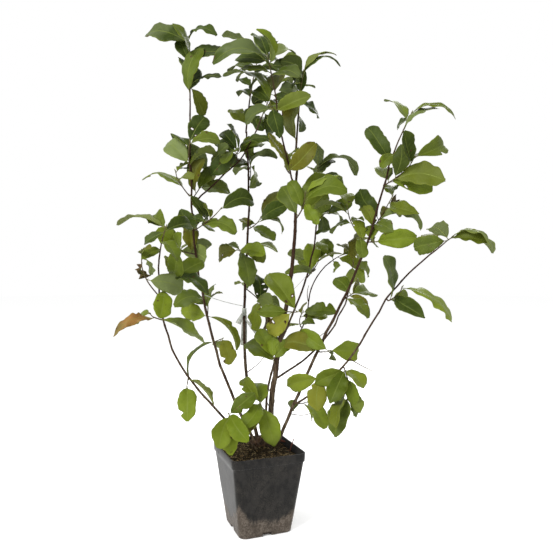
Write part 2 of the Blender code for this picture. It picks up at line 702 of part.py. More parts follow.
NUDGES = nudges()
clear_scene()
walls = {"pot": world_tree(build_pot()), "soil": world_tree(build_soil())}
limbs = build_limbs()
walls.update((name, limb.tree) for name, limb in limbs.items())
twigs = {name: grow_twig(name, shoot, limbs, walls) for name, shoot in SHOOTS.items()}
leaf_count = sum(grow_mass(name, shoot, *twigs[name], walls) for name, shoot in SHOOTS.items())
print("limbs", len(limbs), "masses", len(SHOOTS), "leaves", leaf_count)
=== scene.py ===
# %% [markdown]
# # A potted magnolia shrub
# This lesson dresses a young magnolia in its nursery pot. The solids of the pot, the soil, the
# stems and the leaves are already fixed in a frame. Here each of them gets its fine surface:
# bark with pores, leaves with wavy edges and veins, crumbly soil and dusty, muddy plastic.
#
# We start with the frame. Everything is in metres, +Z is up, and a viewer in front of the plant
# looks along +Y.

import json
import random
from collections import namedtuple
from math import acos, cos, degrees, exp, pi, radians, sin, tau

import bmesh
import bpy
import numpy as np
from mathutils import Matrix, Vector, noise
from mathutils.bvhtree import BVHTree

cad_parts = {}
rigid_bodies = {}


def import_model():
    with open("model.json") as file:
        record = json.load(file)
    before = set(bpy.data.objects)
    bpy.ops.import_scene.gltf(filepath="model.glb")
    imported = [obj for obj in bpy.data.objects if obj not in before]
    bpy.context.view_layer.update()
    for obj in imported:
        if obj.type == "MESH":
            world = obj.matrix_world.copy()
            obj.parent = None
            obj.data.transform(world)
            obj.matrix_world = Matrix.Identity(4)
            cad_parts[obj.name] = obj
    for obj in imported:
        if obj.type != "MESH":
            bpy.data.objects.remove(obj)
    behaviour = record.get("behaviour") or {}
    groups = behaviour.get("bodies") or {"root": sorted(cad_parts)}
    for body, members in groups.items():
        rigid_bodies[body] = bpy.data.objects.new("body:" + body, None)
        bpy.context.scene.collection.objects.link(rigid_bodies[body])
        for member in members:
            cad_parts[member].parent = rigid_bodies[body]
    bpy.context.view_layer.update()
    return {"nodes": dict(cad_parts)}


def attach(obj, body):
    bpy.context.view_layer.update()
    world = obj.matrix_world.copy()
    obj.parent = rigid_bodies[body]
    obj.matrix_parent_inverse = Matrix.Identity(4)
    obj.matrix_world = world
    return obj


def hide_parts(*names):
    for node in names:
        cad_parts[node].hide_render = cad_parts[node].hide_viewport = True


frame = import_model()
print("fixed solids", len(frame["nodes"]))

# %% [markdown]
# ## Camera, floor and light
# The camera stands where the photographer stood, worked out from the pot's corners: 1.46 m in
# front of the stems, a little above the middle of the plant. The floor is a wide pale disc. The
# light is that of a small studio: one large soft lamp high on the left, a weaker one on the
# right, one behind for the edges of the leaves, and a pale surround that fills the shadows.

# %% Camera
CAMERA_PLACE = Vector((0.047, -1.46, 0.652))
CAMERA_TARGET = Vector((0.047, 0, 0.634))
SENSOR_WIDTH = 36.0
FOCAL_LENGTH = 37.37


def aim(thing, target):
    thing.rotation_euler = (target - thing.location).to_track_quat("-Z", "Y").to_euler()


camera_data = bpy.data.cameras.new("camera")
camera_data.sensor_width = SENSOR_WIDTH
camera_data.lens = FOCAL_LENGTH
camera = bpy.data.objects.new("camera", camera_data)
camera.location = CAMERA_PLACE
aim(camera, CAMERA_TARGET)
bpy.context.collection.objects.link(camera)
bpy.context.scene.camera = camera
print("camera lens", FOCAL_LENGTH, "mm")

# %% Floor and lights
FLOOR_RADIUS = 14.0
LAMPS = {
    "key": ((-1.9, -2.3, 2.7), 1.4, 140),
    "fill": ((2.4, -1.8, 1.3), 2.0, 16),
    "rim": ((0.8, 2.4, 2.4), 1.8, 50),
}

floor_bm = bmesh.new()
bmesh.ops.create_circle(floor_bm, cap_ends=True, segments=96, radius=FLOOR_RADIUS)
floor_mesh = bpy.data.meshes.new("floor")
floor_bm.to_mesh(floor_mesh)
floor_bm.free()
floor = bpy.data.objects.new("floor", floor_mesh)
floor.location.z = -0.0004
bpy.context.collection.objects.link(floor)
for lamp_name, (place, size, power) in LAMPS.items():
    lamp_data = bpy.data.lights.new(lamp_name, "AREA")
    lamp_data.size = size
    lamp_data.energy = power
    lamp = bpy.data.objects.new(lamp_name, lamp_data)
    lamp.location = place
    aim(lamp, Vector((0.05, 0, 0.6)))
    bpy.context.collection.objects.link(lamp)
world = bpy.data.worlds.new("studio")
bpy.context.scene.world = world
world.use_nodes = True
world.node_tree.nodes["Background"].inputs["Color"].default_value = (1.0, 1.0, 1.0, 1)
world.node_tree.nodes["Background"].inputs["Strength"].default_value = 1.0
bpy.context.scene.view_settings.view_transform = "Standard"
print("lamps", len(LAMPS))

# %% [markdown]
# ## Writing materials
# Every finish is a Principled shader with a few nodes in front of it. Two small helpers keep the
# recipes short: one adds a node, the other links a value or a socket to an input. A finish on
# this plant is never one flat colour, and most of them need the same soft blotches, so these are
# a node group that each material places with its own values.


# %% Node helpers
def add_node(tree, kind, **settings):
    node = tree.nodes.new(kind)
    for key, value in settings.items():
        setattr(node, key, value)
    return node


def feed(tree, node, **inputs):
    """Sets inputs by name. A socket is linked, and anything else is the input's own value."""
    for key, value in inputs.items():
        socket = node.inputs[key.replace("_", " ")]
        if isinstance(value, bpy.types.NodeSocket):
            tree.links.new(value, socket)
        else:
            socket.default_value = value
    return node


def maths(tree, operation, first, second=0.0, third=0.0):
    """One Math node, and its result."""
    node = add_node(tree, "ShaderNodeMath", operation=operation)
    for socket, value in zip(node.inputs, (first, second, third)):
        if isinstance(value, bpy.types.NodeSocket):
            tree.links.new(value, socket)
        else:
            socket.default_value = value
    return node.outputs[0]


def blend(tree, factor, under, over):
    """Two colours mixed by a mask."""
    node = add_node(tree, "ShaderNodeMix", data_type="RGBA")
    for index, value in ((0, factor), (6, under), (7, over)):
        if isinstance(value, bpy.types.NodeSocket):
            tree.links.new(value, node.inputs[index])
        else:
            node.inputs[index].default_value = value
    return node.outputs[2]


def range_of(tree, value, low, high):
    """A mask that is 0 up to low and 1 from high on, softly."""
    node = add_node(tree, "ShaderNodeMapRange", interpolation_type="SMOOTHSTEP")
    return feed(tree, node, Value=value, From_Min=low, From_Max=high).outputs["Result"]


def new_group(name, inputs, outputs):
    """An empty shader group with named float inputs and outputs."""
    tree = bpy.data.node_groups.new(name, "ShaderNodeTree")
    for title, kind, default in inputs:
        socket = tree.interface.new_socket(title, in_out="INPUT", socket_type=kind)
        if default is not None:
            socket.default_value = default
    for title, kind in outputs:
        tree.interface.new_socket(title, in_out="OUTPUT", socket_type=kind)
    return tree, tree.nodes.new("NodeGroupInput").outputs, tree.nodes.new("NodeGroupOutput").inputs


def place_group(tree, group, **inputs):
    node = add_node(tree, "ShaderNodeGroup", node_tree=group)
    return feed(tree, node, **inputs).outputs


# %% The shared blotches
def make_blotches():
    """Soft uneven patches in space. Stretch is below 1 where they are drawn out along Z."""
    number = "NodeSocketFloat"
    tree, given, result = new_group(
        "blotches", [("Scale", number, 30.0), ("Stretch", number, 1.0)], [("Patch", number), ("Speck", number)]
    )
    place = add_node(tree, "ShaderNodeTexCoord").outputs["Object"]
    stretch = add_node(tree, "ShaderNodeCombineXYZ")
    feed(tree, stretch, X=1.0, Y=1.0, Z=given["Stretch"])
    drawn = add_node(tree, "ShaderNodeVectorMath", operation="MULTIPLY")
    tree.links.new(place, drawn.inputs[0])
    tree.links.new(stretch.outputs[0], drawn.inputs[1])
    soft = add_node(tree, "ShaderNodeTexNoise")
    feed(tree, soft, Vector=drawn.outputs[0], Scale=given["Scale"], Detail=3.0, Roughness=0.55)
    fine = add_node(tree, "ShaderNodeTexNoise")
    fine_scale = maths(tree, "MULTIPLY", given["Scale"], 9.0)
    feed(tree, fine, Vector=drawn.outputs[0], Scale=fine_scale, Detail=2.0, Roughness=0.6)
    tree.links.new(range_of(tree, soft.outputs["Fac"], 0.36, 0.64), result["Patch"])
    tree.links.new(range_of(tree, fine.outputs["Fac"], 0.42, 0.66), result["Speck"])
    return tree


blotches = make_blotches()
print("group", blotches.name)


# %% A finish
def finish(name, build, **settings):
    """A material with its Principled shader. build adds the nodes before it and returns its inputs."""
    look = bpy.data.materials.new(name)
    look.use_nodes = True
    tree = look.node_tree
    shader = tree.nodes["Principled BSDF"]
    feed(tree, shader, **build(tree, **settings))
    return look


def bump(tree, height, strength, distance):
    node = add_node(tree, "ShaderNodeBump")
    return feed(tree, node, Height=height, Strength=strength, Distance=distance).outputs["Normal"]


def floor_nodes(tree):
    return {"Base_Color": (0.985, 0.985, 0.985, 1), "Roughness": 1.0, "Specular_IOR_Level": 0.0}


floor.data.materials.append(finish("floor", floor_nodes))

# %% [markdown]
# ## The plan of the plant
# The plant is written down the way a gardener would describe it. A stem stands on the soil and
# ends at a tip, with a bow and a sway on the way. A bough leaves its host at some fraction of
# its length. A shoot of foliage is a twig, with a note for each leaf: the hour it points to on a
# clock face seen from the front, a letter for how its blade faces, the length that shows in
# millimetres, and after the @ how many tenths along the twig it sits. The last letters say how
# the leaf looks: d deep green, g mid green, f fresh yellow-green, o olive, y yellow, p pale,
# r rust and w withered, then x where insects left holes and n where they nibbled its edge.

# %% Sizes of the plan
CLEARANCE = 0.0003
POT_TURN = radians(21)
SOIL_TOP = 0.188
COLLAR = 1.5
FLARE = 0.55
FLARE_REACH = 0.012
TWIG_FOOT = 0.0016
TWIG_TIP = 0.0010
TWIG_STEPS = 3
TWIG_BOW = 0.12
TWIG_LEANS = (0, 12, -12, 24, -24, 40, -40, 60, -60)
BUD = 0.006
FIRST_LEAF = 0.05
LAST_LEAF = 0.90
LEAF_STAGGER = 0.0125
LEAF_LENGTH = 0.104
YOUNG_LENGTH = 0.070
LEAF_SPREAD = 0.06
LEAF_SHARE = 0.58
LEAF_WIDTH = 0.50
LEAF_THICKNESS = 0.016
LEAF_FOLD = radians(20)
PETIOLE_SHARE = 0.09
PETIOLE_RADIUS = 0.0009
BLADE_STATIONS = (0.36, 0.75)
BLADE_WIDEST = 0.52
BASE_TAPER = 0.85
TIP_TAPER = 0.78
LEAF_ROOM = 0.0007
PLAN_SIDES = 6
PLAN_TWIG_SIDES = 3
PLAN_STEP = 0.060
PLAN_STEPS_LEAST = 9
FACING = {
    "b": (radians(14), True, (0.5, 1.1)),
    "h": (radians(42), True, (0.6, 1.3)),
    "e": (radians(68), True, (0.6, 1.3)),
    "a": (radians(56), True, (1.7, 2.2)),
    "s": (radians(78), True, (0.9, 1.4)),
    "u": (radians(16), False, (0.4, 0.9)),
    "v": (radians(50), False, (0.5, 1.1)),
}

# %% Stems and boughs
Stem = namedtuple("Stem", "foot tip bow sway foot_radius tip_radius")
Bough = namedtuple("Bough", "host at tip bow sway foot_radius tip_radius")
Shoot = namedtuple("Shoot", "host at hour lean reach leaves")

LIMBS = {
    "stem_west": Stem(
        (-0.006, 0.036), (-0.178, 0.040, 1.095), (-0.065, 0.030, -0.022), (-0.002, 0, -0.010),
        0.0042, 0.0020,
    ),
    "stem_centre_west": Stem(
        (0.000, 0.062), (-0.038, 0.170, 1.042), (-0.022, 0.030, -0.024), (-0.012, 0, -0.006),
        0.0050, 0.0022,
    ),
    "stem_centre": Stem(
        (0.022, 0.042), (0.097, 0.020, 0.960), (0.014, -0.040, 0.002), (-0.007, 0, 0.004),
        0.0080, 0.0026,
    ),
    "stem_inner": Stem(
        (0.020, 0.070), (0.164, 0.170, 0.864), (-0.008, 0.020, -0.018), (-0.023, 0, 0.002),
        0.0036, 0.0020,
    ),
    "stem_east": Stem(
        (0.046, 0.036), (0.324, -0.040, 0.903), (0.019, -0.030, 0.013), (-0.005, 0, 0.009),
        0.0044, 0.0022,
    ),
    "stem_west_low": Stem(
        (-0.004, 0.010), (-0.219, -0.160, 0.671), (-0.065, -0.030, -0.008), (0.003, 0, 0.005),
        0.0033, 0.0018,
    ),
    "bough_centre": Bough(
        "stem_centre", 0.865, (0.045, -0.060, 1.072), (-0.006, -0.012, 0.001), (0, 0, 0),
        0.0024, 0.0017,
    ),
    "bough_west": Bough(
        "stem_west", 0.710, (-0.009, 0.100, 1.026), (0.007, 0.010, -0.008), (-0.004, 0, 0.003),
        0.0022, 0.0017,
    ),
    "bough_inner": Bough(
        "stem_inner", 0.395, (0.191, 0.230, 0.662), (0.012, 0.012, -0.012), (0.013, 0, -0.008),
        0.0020, 0.0016,
    ),
    "bough_east": Bough(
        "stem_centre", 0.235, (0.252, 0.110, 0.635), (0.036, 0.030, -0.030), (-0.003, 0, -0.001),
        0.0029, 0.0017,
    ),
    "bough_east_low": Bough(
        "stem_east", 0.155, (0.397, -0.160, 0.688), (0.014, -0.030, 0.008), (0.013, 0, -0.010),
        0.0028, 0.0017,
    ),
}
print("stems and boughs", len(LIMBS))

# %% Shoots of foliage
SHOOTS = {
    "foliage_west_top": Shoot(
        "stem_west", 1, 11.95, 0, 0.149,
        "0.5h114@0 11.55h122@0 2.2e84@1 3.2b108@7 9.45b118@10 3a76@10 10.3e84@9 11.2e58@6 5.2h62@0g",
    ),
    "foliage_west_upper": Shoot(
        "stem_west", 0.80, 0.1, -25, 0.079, "10.5b95@2p 0.2h50@3 1.6s58@1f 0.8b78@10dx 10.2h60@8"
    ),
    "foliage_west_high": Shoot(
        "stem_west", 0.725, 0.8, 25, 0.124,
        "3v72@3p 0.4h80@1o 0.9h68@3o 10.8u72@8p 1.1b60@9p 1.7h58@10d 3.6h50@4",
    ),
    "foliage_west_spur": Shoot(
        "stem_west", 0.735, 11.05, -20, 0.072, "4.7h50@0 9.9s128@1f 1.8e56@10 3.2h48@6"
    ),
    "foliage_west_mid": Shoot(
        "stem_west", 0.575, 9.5, 30, 0.058, "11.6b80@1o 10.5b78@8f 2.5v74@6p 3.6u72@10 2.4s72@9p 0.3h60@5"
    ),
    "foliage_west_inner": Shoot(
        "stem_west", 0.64, 1.83, -30, 0.105, "11.5b66@0f 3.4h90@2gn 2.35b92@10d 0.3h48@1 9.2h50@3"
    ),
    "foliage_west_waist": Shoot(
        "stem_west", 0.40, 11.75, 35, 0.057, "9.1b73@0 4.6s117@0 0.45h66@4 8.8h80@10 8.9e60@6"
    ),
    "foliage_west_knee": Shoot("stem_west", 0.33, 2.2, -30, 0.026, "7.4s112@0 5.2b66@10y 6.5b60@9"),
    "foliage_low_west_top": Shoot(
        "stem_west_low", 1, 0.35, 10, 0.078, "9.45s116@10p 10.75b70@10g 2.2h54@8d 4.4h60@4"
    ),
    "foliage_low_west_side": Shoot("stem_west_low", 0.85, 11.48, -20, 0.113, "3.7b76@4p"),
    "foliage_low_west_mid": Shoot(
        "stem_west_low", 0.86, 1.0, 30, 0.052, "6.2b64@2f 3.4h92@9d 1.9b86@7g 0.6b62@10 11.6h60@8"
    ),
    "foliage_low_west_left": Shoot("stem_west_low", 0.745, 10, -10, 0.030, "8.1e54@10 8.3b88@4r 4e112@1"),
    "foliage_low_west_foot": Shoot("stem_west_low", 0.44, 6.2, -25, 0.020, "5.7b68@10f 4.2s80@0"),
    "foliage_foot_left": Shoot("stem_west_low", 0.19, 12.5, -55, 0.040, "6.6b62@7f 4.5b70@10f 5.6b68@0f"),
    "foliage_foot_centre": Shoot(
        "stem_centre", 0.12, 11, -50, 0.067, "10.6b72@10f 7.4b84@9o 7.4b62@10f 5.35b95@7f 11.5b50@8f"
    ),
    "foliage_foot_east": Shoot("stem_east", 0.15, 2.6, -30, 0.030, "4.65h64@10"),
    "foliage_low": Shoot("stem_centre", 0.285, 11.5, -35, 0.020, "10.1h92@0 11h74@6"),
    "foliage_mid": Shoot("stem_centre", 0.46, 2.9, -30, 0.028, "7.6b64@4yx 10.8b122@10x"),
    "foliage_fork": Shoot(
        "stem_centre", 0.775, 0.6, -35, 0.072, "11.6b92@0g 1.2b125@1g 2.1a108@9f 2.4h96@7"
    ),
    "foliage_centre_low": Shoot(
        "stem_centre_west", 0.505, 4.7, 25, 0.064, "11.7b84@10dx 6.15h74@8 3.3v56@9 3.7b50@6"
    ),
    "foliage_centre_waist": Shoot(
        "stem_centre_west", 0.625, 9.2, -35, 0.024, "8.4b68@10x 3.4b80@8 5.5h106@9 3s92@0 9.5e62@5"
    ),
    "foliage_centre_mid": Shoot(
        "stem_centre_west", 0.695, 1.4, 20, 0.050, "1.3b104@10o 2.1b86@8d 3.5a78@5 4.1h72@1"
    ),
    "foliage_centre_upper": Shoot(
        "stem_centre_west", 0.845, 12, 40, 0.090, "3.3e50@0 2.6a78@7 5.9s72@8 0.1h50@10 9.5e50@4 8.4h58@9"
    ),
    "foliage_centre_top": Shoot(
        "stem_centre_west", 1, 0.3, 6, 0.220,
        "10.8b78@0f 0.8b86@0 10.5h52@3 2.2h60@4 10.3s128@10 0.75b98@9p 9.4h86@7 3.3h70@6 8.3h64@8 4.3b62@3 "
        "2.9h66@9",
    ),
    "foliage_fork_west_mid": Shoot("bough_centre", 0.18, 11, -30, 0.025, "10.9h104@4o 1.5b84@2o 0.7h74@0"),
    "foliage_fork_west_high": Shoot("bough_centre", 0.84, 10.2, -20, 0.020, "10.2a148@8 2.4b80@0 8.4h72@5"),
    "foliage_fork_west_top": Shoot(
        "bough_centre", 1, 11.6, -6, 0.092,
        "0.3b76@0o 9.3a134@5d 10.25h80@8f 11.5e62@7f 1.8h76@9p "
        "11.4b84@10d 8.6h50@4 3.4h62@3 2.6b58@6 0.9h58@10",
    ),
    "foliage_fork_east_top": Shoot(
        "stem_centre", 1, 0.19, 0, 0.197,
        "0.05h134@0o 8.7b84@6d 10.75b84@10g 9.7b78@9d 7.2h60@8d 2a102@10p 2.15a108@9d 10b66@5 3.6h58@4",
    ),
    "foliage_bough_west_mid": Shoot(
        "bough_west", 0.65, 0.3, 20, 0.030,
        "7.75b94@7 2.6a108@8d 10.1b76@6 1.9b84@5 10.8b80@8 11.1e62@10 7.4h54@9",
    ),
    "foliage_bough_west_top": Shoot(
        "bough_west", 1, 0.62, 20, 0.142,
        "1.35h50@0 3.05a86@2p 5.2b58@3d 1.9b84@3 9.9h56@5 0.3b66@8 3.6b86@8d 11.2h60@10 8.9h66@9 1.6h72@10",
    ),
    "foliage_inner_mid": Shoot(
        "stem_inner", 0.68, 1.2, 30, 0.066, "0.1b88@3 11.3h66@1 9.8v88@7 2.2e66@10 0.4b68@10 9.4a60@0"
    ),
    "foliage_inner_high": Shoot("stem_inner", 0.93, 3, 30, 0.035, "3.6a72@1 8e60@10y 5.8b60@2 2.4h66@9"),
    "foliage_inner_top": Shoot(
        "stem_inner", 1, 0, 8, 0.077, "6.2b92@0 5.9b84@1 3a116@10 9.5e60@6 11.8u60@10p 0.8h74@3p 4.2h70@4"
    ),
    "foliage_thin_mid": Shoot("bough_inner", 0.30, 12.4, 30, 0.048, "2.6b88@6 2.8h92@10"),
    "foliage_thin_top": Shoot("bough_inner", 1, 1.93, 15, 0.066, "2.3e52@10 4.1b84@6 3.1h66@8"),
    "foliage_bough_east_top": Shoot("bough_east", 1, 0.3, 10, 0.055, "0.5h112@5o 10.4h50@10o 4e60@3"),
    "foliage_east_low": Shoot("stem_east", 0.335, 2.5, -35, 0.030, "9.5h82@0 10.2b68@9 3.15b84@10"),
    "foliage_east_mid": Shoot("stem_east", 0.53, 2, 35, 0.032, "3.05h66@10 10.6b50@9 2b52@10 4.3h62@0"),
    "foliage_east_waist": Shoot("stem_east", 0.745, 3, -30, 0.018, "9.7e50@5 2.8b86@10f 0.4h60@4"),
    "foliage_east_twig": Shoot("stem_east", 0.735, 11.28, 20, 0.113, "9.6s88@8 11.9b50@10x 8.4e50@5"),
    "foliage_east_upper": Shoot(
        "stem_east", 0.785, 1.1, 20, 0.115,
        "10.9e56@1 11.1b90@3d 2.3b72@3o 3.2a110@2p 4.2b54@1 3.8b70@8 1h48@10",
    ),
    "foliage_east_side": Shoot(
        "stem_east", 0.945, 1.54, -15, 0.093,
        "2.65b127@0fxn 0.1b68@0 11.2h58@4p 11.1b72@8d 2.1b96@10g 3.3b116@1g",
    ),
    "foliage_east_top": Shoot(
        "stem_east", 1, 0.75, -4, 0.139, "11.05b108@0d 2.1a84@6p 11h82@8f 3.2a100@10g"
    ),
    "foliage_far_east_mid": Shoot(
        "bough_east_low", 0.68, 1.4, -15, 0.045, "3.3b62@0f 4.1b66@2d 3.95s148@10f 11.6e116@0d"
    ),
    "foliage_far_east_tip": Shoot(
        "bough_east_low", 1, 1.7, -6, 0.056, "0.65h50@0 9.9v62@8p 8.6b50@7g 3.7a80@10p 3.6s108@10p 3.2h50@9"
    ),
    "foliage_skirt_inner": Shoot("bough_east_low", 0.17, 10.8, -30, 0.025, "8.3b86@10f 6.3b66@8y"),
    "foliage_skirt": Shoot(
        "bough_east_low", 0.29, 5.9, -15, 0.078, "7b82@0 4.6h50@0 6.4e80@5 6.7b94@9 4.9h62@10 7.2e70@10"
    ),
}
YOUNG = {
    "foliage_west_top": "0.2e46@5 1.5e42@7 11.25b78@5 1.25b40@0",
    "foliage_west_upper": "9.4e34@0 2.5b78@10",
    "foliage_west_high": "2.2e44@7 0.75b78@2",
    "foliage_west_inner": "11e35@5 11.25b78@0",
    "foliage_west_waist": "1.8e44@9",
    "foliage_west_knee": "4b78@9 10b52@0",
    "foliage_low_west_top": "1h40@10 8.6h34@8 7.75b40@2",
    "foliage_low_west_side": "5.6v44@10p 2.1e30@10 6.5e30@8w",
    "foliage_low_west_left": "7.3b66@10f",
    "foliage_foot_left": "1.75b78@9",
    "foliage_foot_centre": "8.3e34@6 3.75b64@7",
    "foliage_foot_east": "7.7h46@3 5e40@5",
    "foliage_low": "0.1b46@10 1.5b52@9",
    "foliage_mid": "9b78@0",
    "foliage_fork": "0b78@9 5b64@6 11.25b78@3",
    "foliage_centre_low": "10e44@0 4.2h46@10 5.5h72@10w 5.9s58@9w",
    "foliage_centre_waist": "3.75b64@2",
    "foliage_centre_mid": "9.6e44@10 10.4h40@0 8.6h44@4 0.25b78@10",
    "foliage_centre_top": "10.5b52@5 4.5b64@1 6.5b52@4",
    "foliage_fork_west_mid": "2.5e44@0",
    "foliage_fork_west_high": "5.5b78@7",
    "foliage_fork_west_top": "9.25b78@9",
    "foliage_fork_east_top": "2.8s38@8 2b64@10 6b52@3 0b78@6",
    "foliage_inner_mid": "10.5h40@2 1b64@0",
    "foliage_inner_top": "2b64@8",
    "foliage_thin_mid": "8.2v44@1 2.4e38@0 1e34@8",
    "foliage_thin_top": "5.3h40@3 11e40@6 11.25b78@3",
    "foliage_bough_east_top": "4.5b52@2 6.5b40@3",
    "foliage_east_low": "5e38@8",
    "foliage_east_mid": "4h40@6 6.75b52@10",
    "foliage_east_waist": "5.5b78@4 2b40@1",
    "foliage_east_twig": "2e38@5 11.75b52@0 6b52@1",
    "foliage_east_upper": "3.3h34@9w 11.2b66@0 0.25b64@2",
    "foliage_east_side": "11.3b46@10 0.25b78@2 1b64@10",
    "foliage_east_top": "8.1e34@9 6.25b78@0 2b40@8 7.5b40@1",
    "foliage_far_east_mid": "8.8h40@1",
    "foliage_far_east_tip": "3.5b64@10",
    "foliage_skirt_inner": "2.9e40@9 9.3e32@10 9.25b78@10",
    "foliage_skirt": "5.8e46@0 4.8h40@7 5.3h46@6 8.5b78@0 5.5b64@2",
}
print("shoots", len(SHOOTS))

# %% [markdown]
# ## Growing the plan
# The rule that grew the solids is written again here, so that every fine leaf lies where its
# plain one lies. A leaf first points the way its note says. If it would touch a limb, a twig or
# a leaf of a neighbour, it is nudged, the gentlest change first, until it has room. The tests
# use simple bodies with few faces, which keeps the growing down to a few seconds.


# %% Simple bodies for the tests
def sweep(rings, point=None):
    """A closed body: one face extruded from ring to ring, and drawn to a point if one is given."""
    bm = bmesh.new()
    face = bm.faces.new([bm.verts.new(place) for place in rings[0]])
    followers = list(rings[1:]) + ([rings[-1]] if point else [])
    for index, ring in enumerate(followers):
        made = bmesh.ops.extrude_face_region(bm, geom=[face])["geom"]
        ahead = next(part for part in made if isinstance(part, bmesh.types.BMFace))
        for vert, place in zip(ahead.verts, ring):
            vert.co = place
        if index:
            bmesh.ops.delete(bm, geom=[face], context="FACES_ONLY")
        face = ahead
    if point:
        bmesh.ops.pointmerge(bm, verts=list(face.verts), merge_co=point)
    bmesh.ops.recalc_face_normals(bm, faces=bm.faces)
    bmesh.ops.triangulate(bm, faces=bm.faces)
    return bm


def bvh(bm):
    bm.normal_update()
    return BVHTree.FromBMesh(bm)


def node_tree_of(name):
    bm = bmesh.new()
    bm.from_mesh(frame["nodes"][name].data)
    tree = bvh(bm)
    bm.free()
    return tree


def clock(hour, lean):
    """The way that points to an hour seen from the front, leaning away from the viewer by degrees."""
    turn, back = radians(30 * hour), radians(lean)
    return Vector((sin(turn) * cos(back), sin(back), cos(turn) * cos(back)))


def tube(path, radii, sides, start, end=None):
    """Rings of a round bar along a path. start and end are the ways that its two flat ends face."""
    rings = []
    across = start.orthogonal().normalized()
    last = len(path) - 1
    for index, (place, radius) in enumerate(zip(path, radii)):
        ahead = (path[min(index + 1, last)] - path[max(index - 1, 0)]).normalized()
        if index == 0:
            ahead = start
        if index == last and end:
            ahead = end
        across = (across - ahead * across.dot(ahead)).normalized()
        beside = ahead.cross(across)
        turns = [tau * side / sides for side in range(sides)]
        rings.append([place + (across * cos(turn) + beside * sin(turn)) * radius for turn in turns])
    return rings


# %% Limbs of the plan
class Limb:
    """A tapering stem or bough on one smooth curve: a straight run with a bow and a sway added."""

    def __init__(self, foot, tip, bow, sway, foot_radius, tip_radius, start, flare=0.0):
        self.foot, self.tip = Vector(foot), Vector(tip)
        self.bow, self.sway = Vector(bow), Vector(sway)
        self.foot_radius, self.tip_radius = foot_radius, tip_radius
        self.start, self.flare = start, flare
        self.length = (self.tip - self.foot).length
        self.tree = None

    def point(self, share):
        straight = self.foot.lerp(self.tip, share)
        return straight + self.bow * sin(pi * share) + self.sway * sin(tau * share)

    def ahead(self, share):
        return (self.point(min(share + 0.01, 1)) - self.point(max(share - 0.01, 0))).normalized()

    def radius(self, share):
        plain = self.foot_radius + (self.tip_radius - self.foot_radius) * share
        return plain * (1 + self.flare * exp(-share * self.length / FLARE_REACH))

    def rings(self):
        count = max(PLAN_STEPS_LEAST, round(self.length / PLAN_STEP))
        shares = [step / count for step in range(count + 1)]
        if self.flare:
            shares[1:1] = [reach * FLARE_REACH / self.length for reach in (0.5, 1.4)]
        path = [self.point(share) for share in shares]
        radii = [self.radius(share) for share in shares]
        return tube(path, radii, PLAN_SIDES, self.start, self.ahead(1))

    def seat(self, share, way):
        """Where a twig can start, 0.3 mm clear of this limb, and the way its foot faces."""
        if share == 1:
            return self.tip + self.ahead(1) * CLEARANCE, self.ahead(1)
        middle, along = self.point(share), self.ahead(share)
        out = (way - along * way.dot(along)).normalized()
        hit, facet, _, _ = self.tree.ray_cast(middle + out * 4 * self.foot_radius, -out)
        return hit + facet * CLEARANCE, facet


def grow_limbs():
    limbs = {}
    for name, spec in LIMBS.items():
        if isinstance(spec, Stem):
            foot = Vector((*spec.foot, SOIL_TOP + CLEARANCE))
            start, flare = Vector((0, 0, 1)), FLARE
        else:
            host = limbs[spec.host]
            foot, start = host.seat(spec.at, Vector(spec.tip) - host.point(spec.at))
            foot += start * COLLAR * spec.foot_radius
            flare = 0.0
        limb = Limb(foot, spec.tip, spec.bow, spec.sway, spec.foot_radius, spec.tip_radius, start, flare)
        rings = limb.rings()
        if not flare:
            at_host = [foot - start * COLLAR * spec.foot_radius]
            rings[0:0] = tube(at_host, [spec.foot_radius], PLAN_SIDES, start)
        body = sweep(rings)
        limb.tree = bvh(body)
        body.free()
        limbs[name] = limb
    return limbs


# %% Leaves of the plan
Leaf = namedtuple("Leaf", "root along normal length width curl")
Note = namedtuple("Note", "hour facing shown seat look marks")


def spine(leaf, share):
    """A point on the leaf's midrib and the blade's normal there. The midrib is an arc."""
    half, here = leaf.curl / 2, leaf.curl * (0.5 - share)
    run = 0.5 - sin(here) / (2 * sin(half))
    rise = (cos(here) - cos(half)) / (2 * sin(half))
    place = leaf.root + leaf.length * (leaf.along * run + leaf.normal * rise)
    return place, leaf.normal * cos(here) - leaf.along * sin(here)


def half_width(leaf, blade_share):
    """Egg-shaped, widest in the middle, with a tapered base and a pointed tip."""
    shape = (blade_share / BLADE_WIDEST) ** BASE_TAPER
    shape = shape * ((1 - blade_share) / (1 - BLADE_WIDEST)) ** TIP_TAPER
    return 0.5 * leaf.width * shape


def leaf_body(leaf, room=0.0):
    """The plain leaf as a closed body: a thin petiole, then a folded blade."""
    side = leaf.along.cross(leaf.normal)
    thick = LEAF_THICKNESS * leaf.length / 2 + room
    stations = [(share, PETIOLE_RADIUS + room, PETIOLE_RADIUS + room, 0.0) for share in (0.0, PETIOLE_SHARE)]
    for blade_share in BLADE_STATIONS:
        share = PETIOLE_SHARE + (1 - PETIOLE_SHARE) * blade_share
        wide = half_width(leaf, blade_share) + room
        thin = thick * (1.15 - 0.6 * blade_share)
        stations.append((share, wide * cos(LEAF_FOLD), thin, wide * sin(LEAF_FOLD)))
    rings = []
    for share, wide, thin, lift in stations:
        place, up = spine(leaf, share)
        edges = side * wide
        rings.append([place + edges + up * lift, place + up * thin, place - edges + up * lift, place - up * thin])
    return sweep(rings, point=spine(leaf, 1.0)[0])


def read_note(word):
    facing = next(letter for letter in FACING if letter in word)
    hour, rest = word.split(facing, 1)
    shown, seat_and_marks = rest.split("@")
    seat = seat_and_marks.rstrip("dgfoyprwxn")
    marks = seat_and_marks[len(seat):]
    look = "".join(letter for letter in marks if letter not in "xn")
    return Note(float(hour), facing, float(shown) / 1000, float(seat) / 10, look, marks)


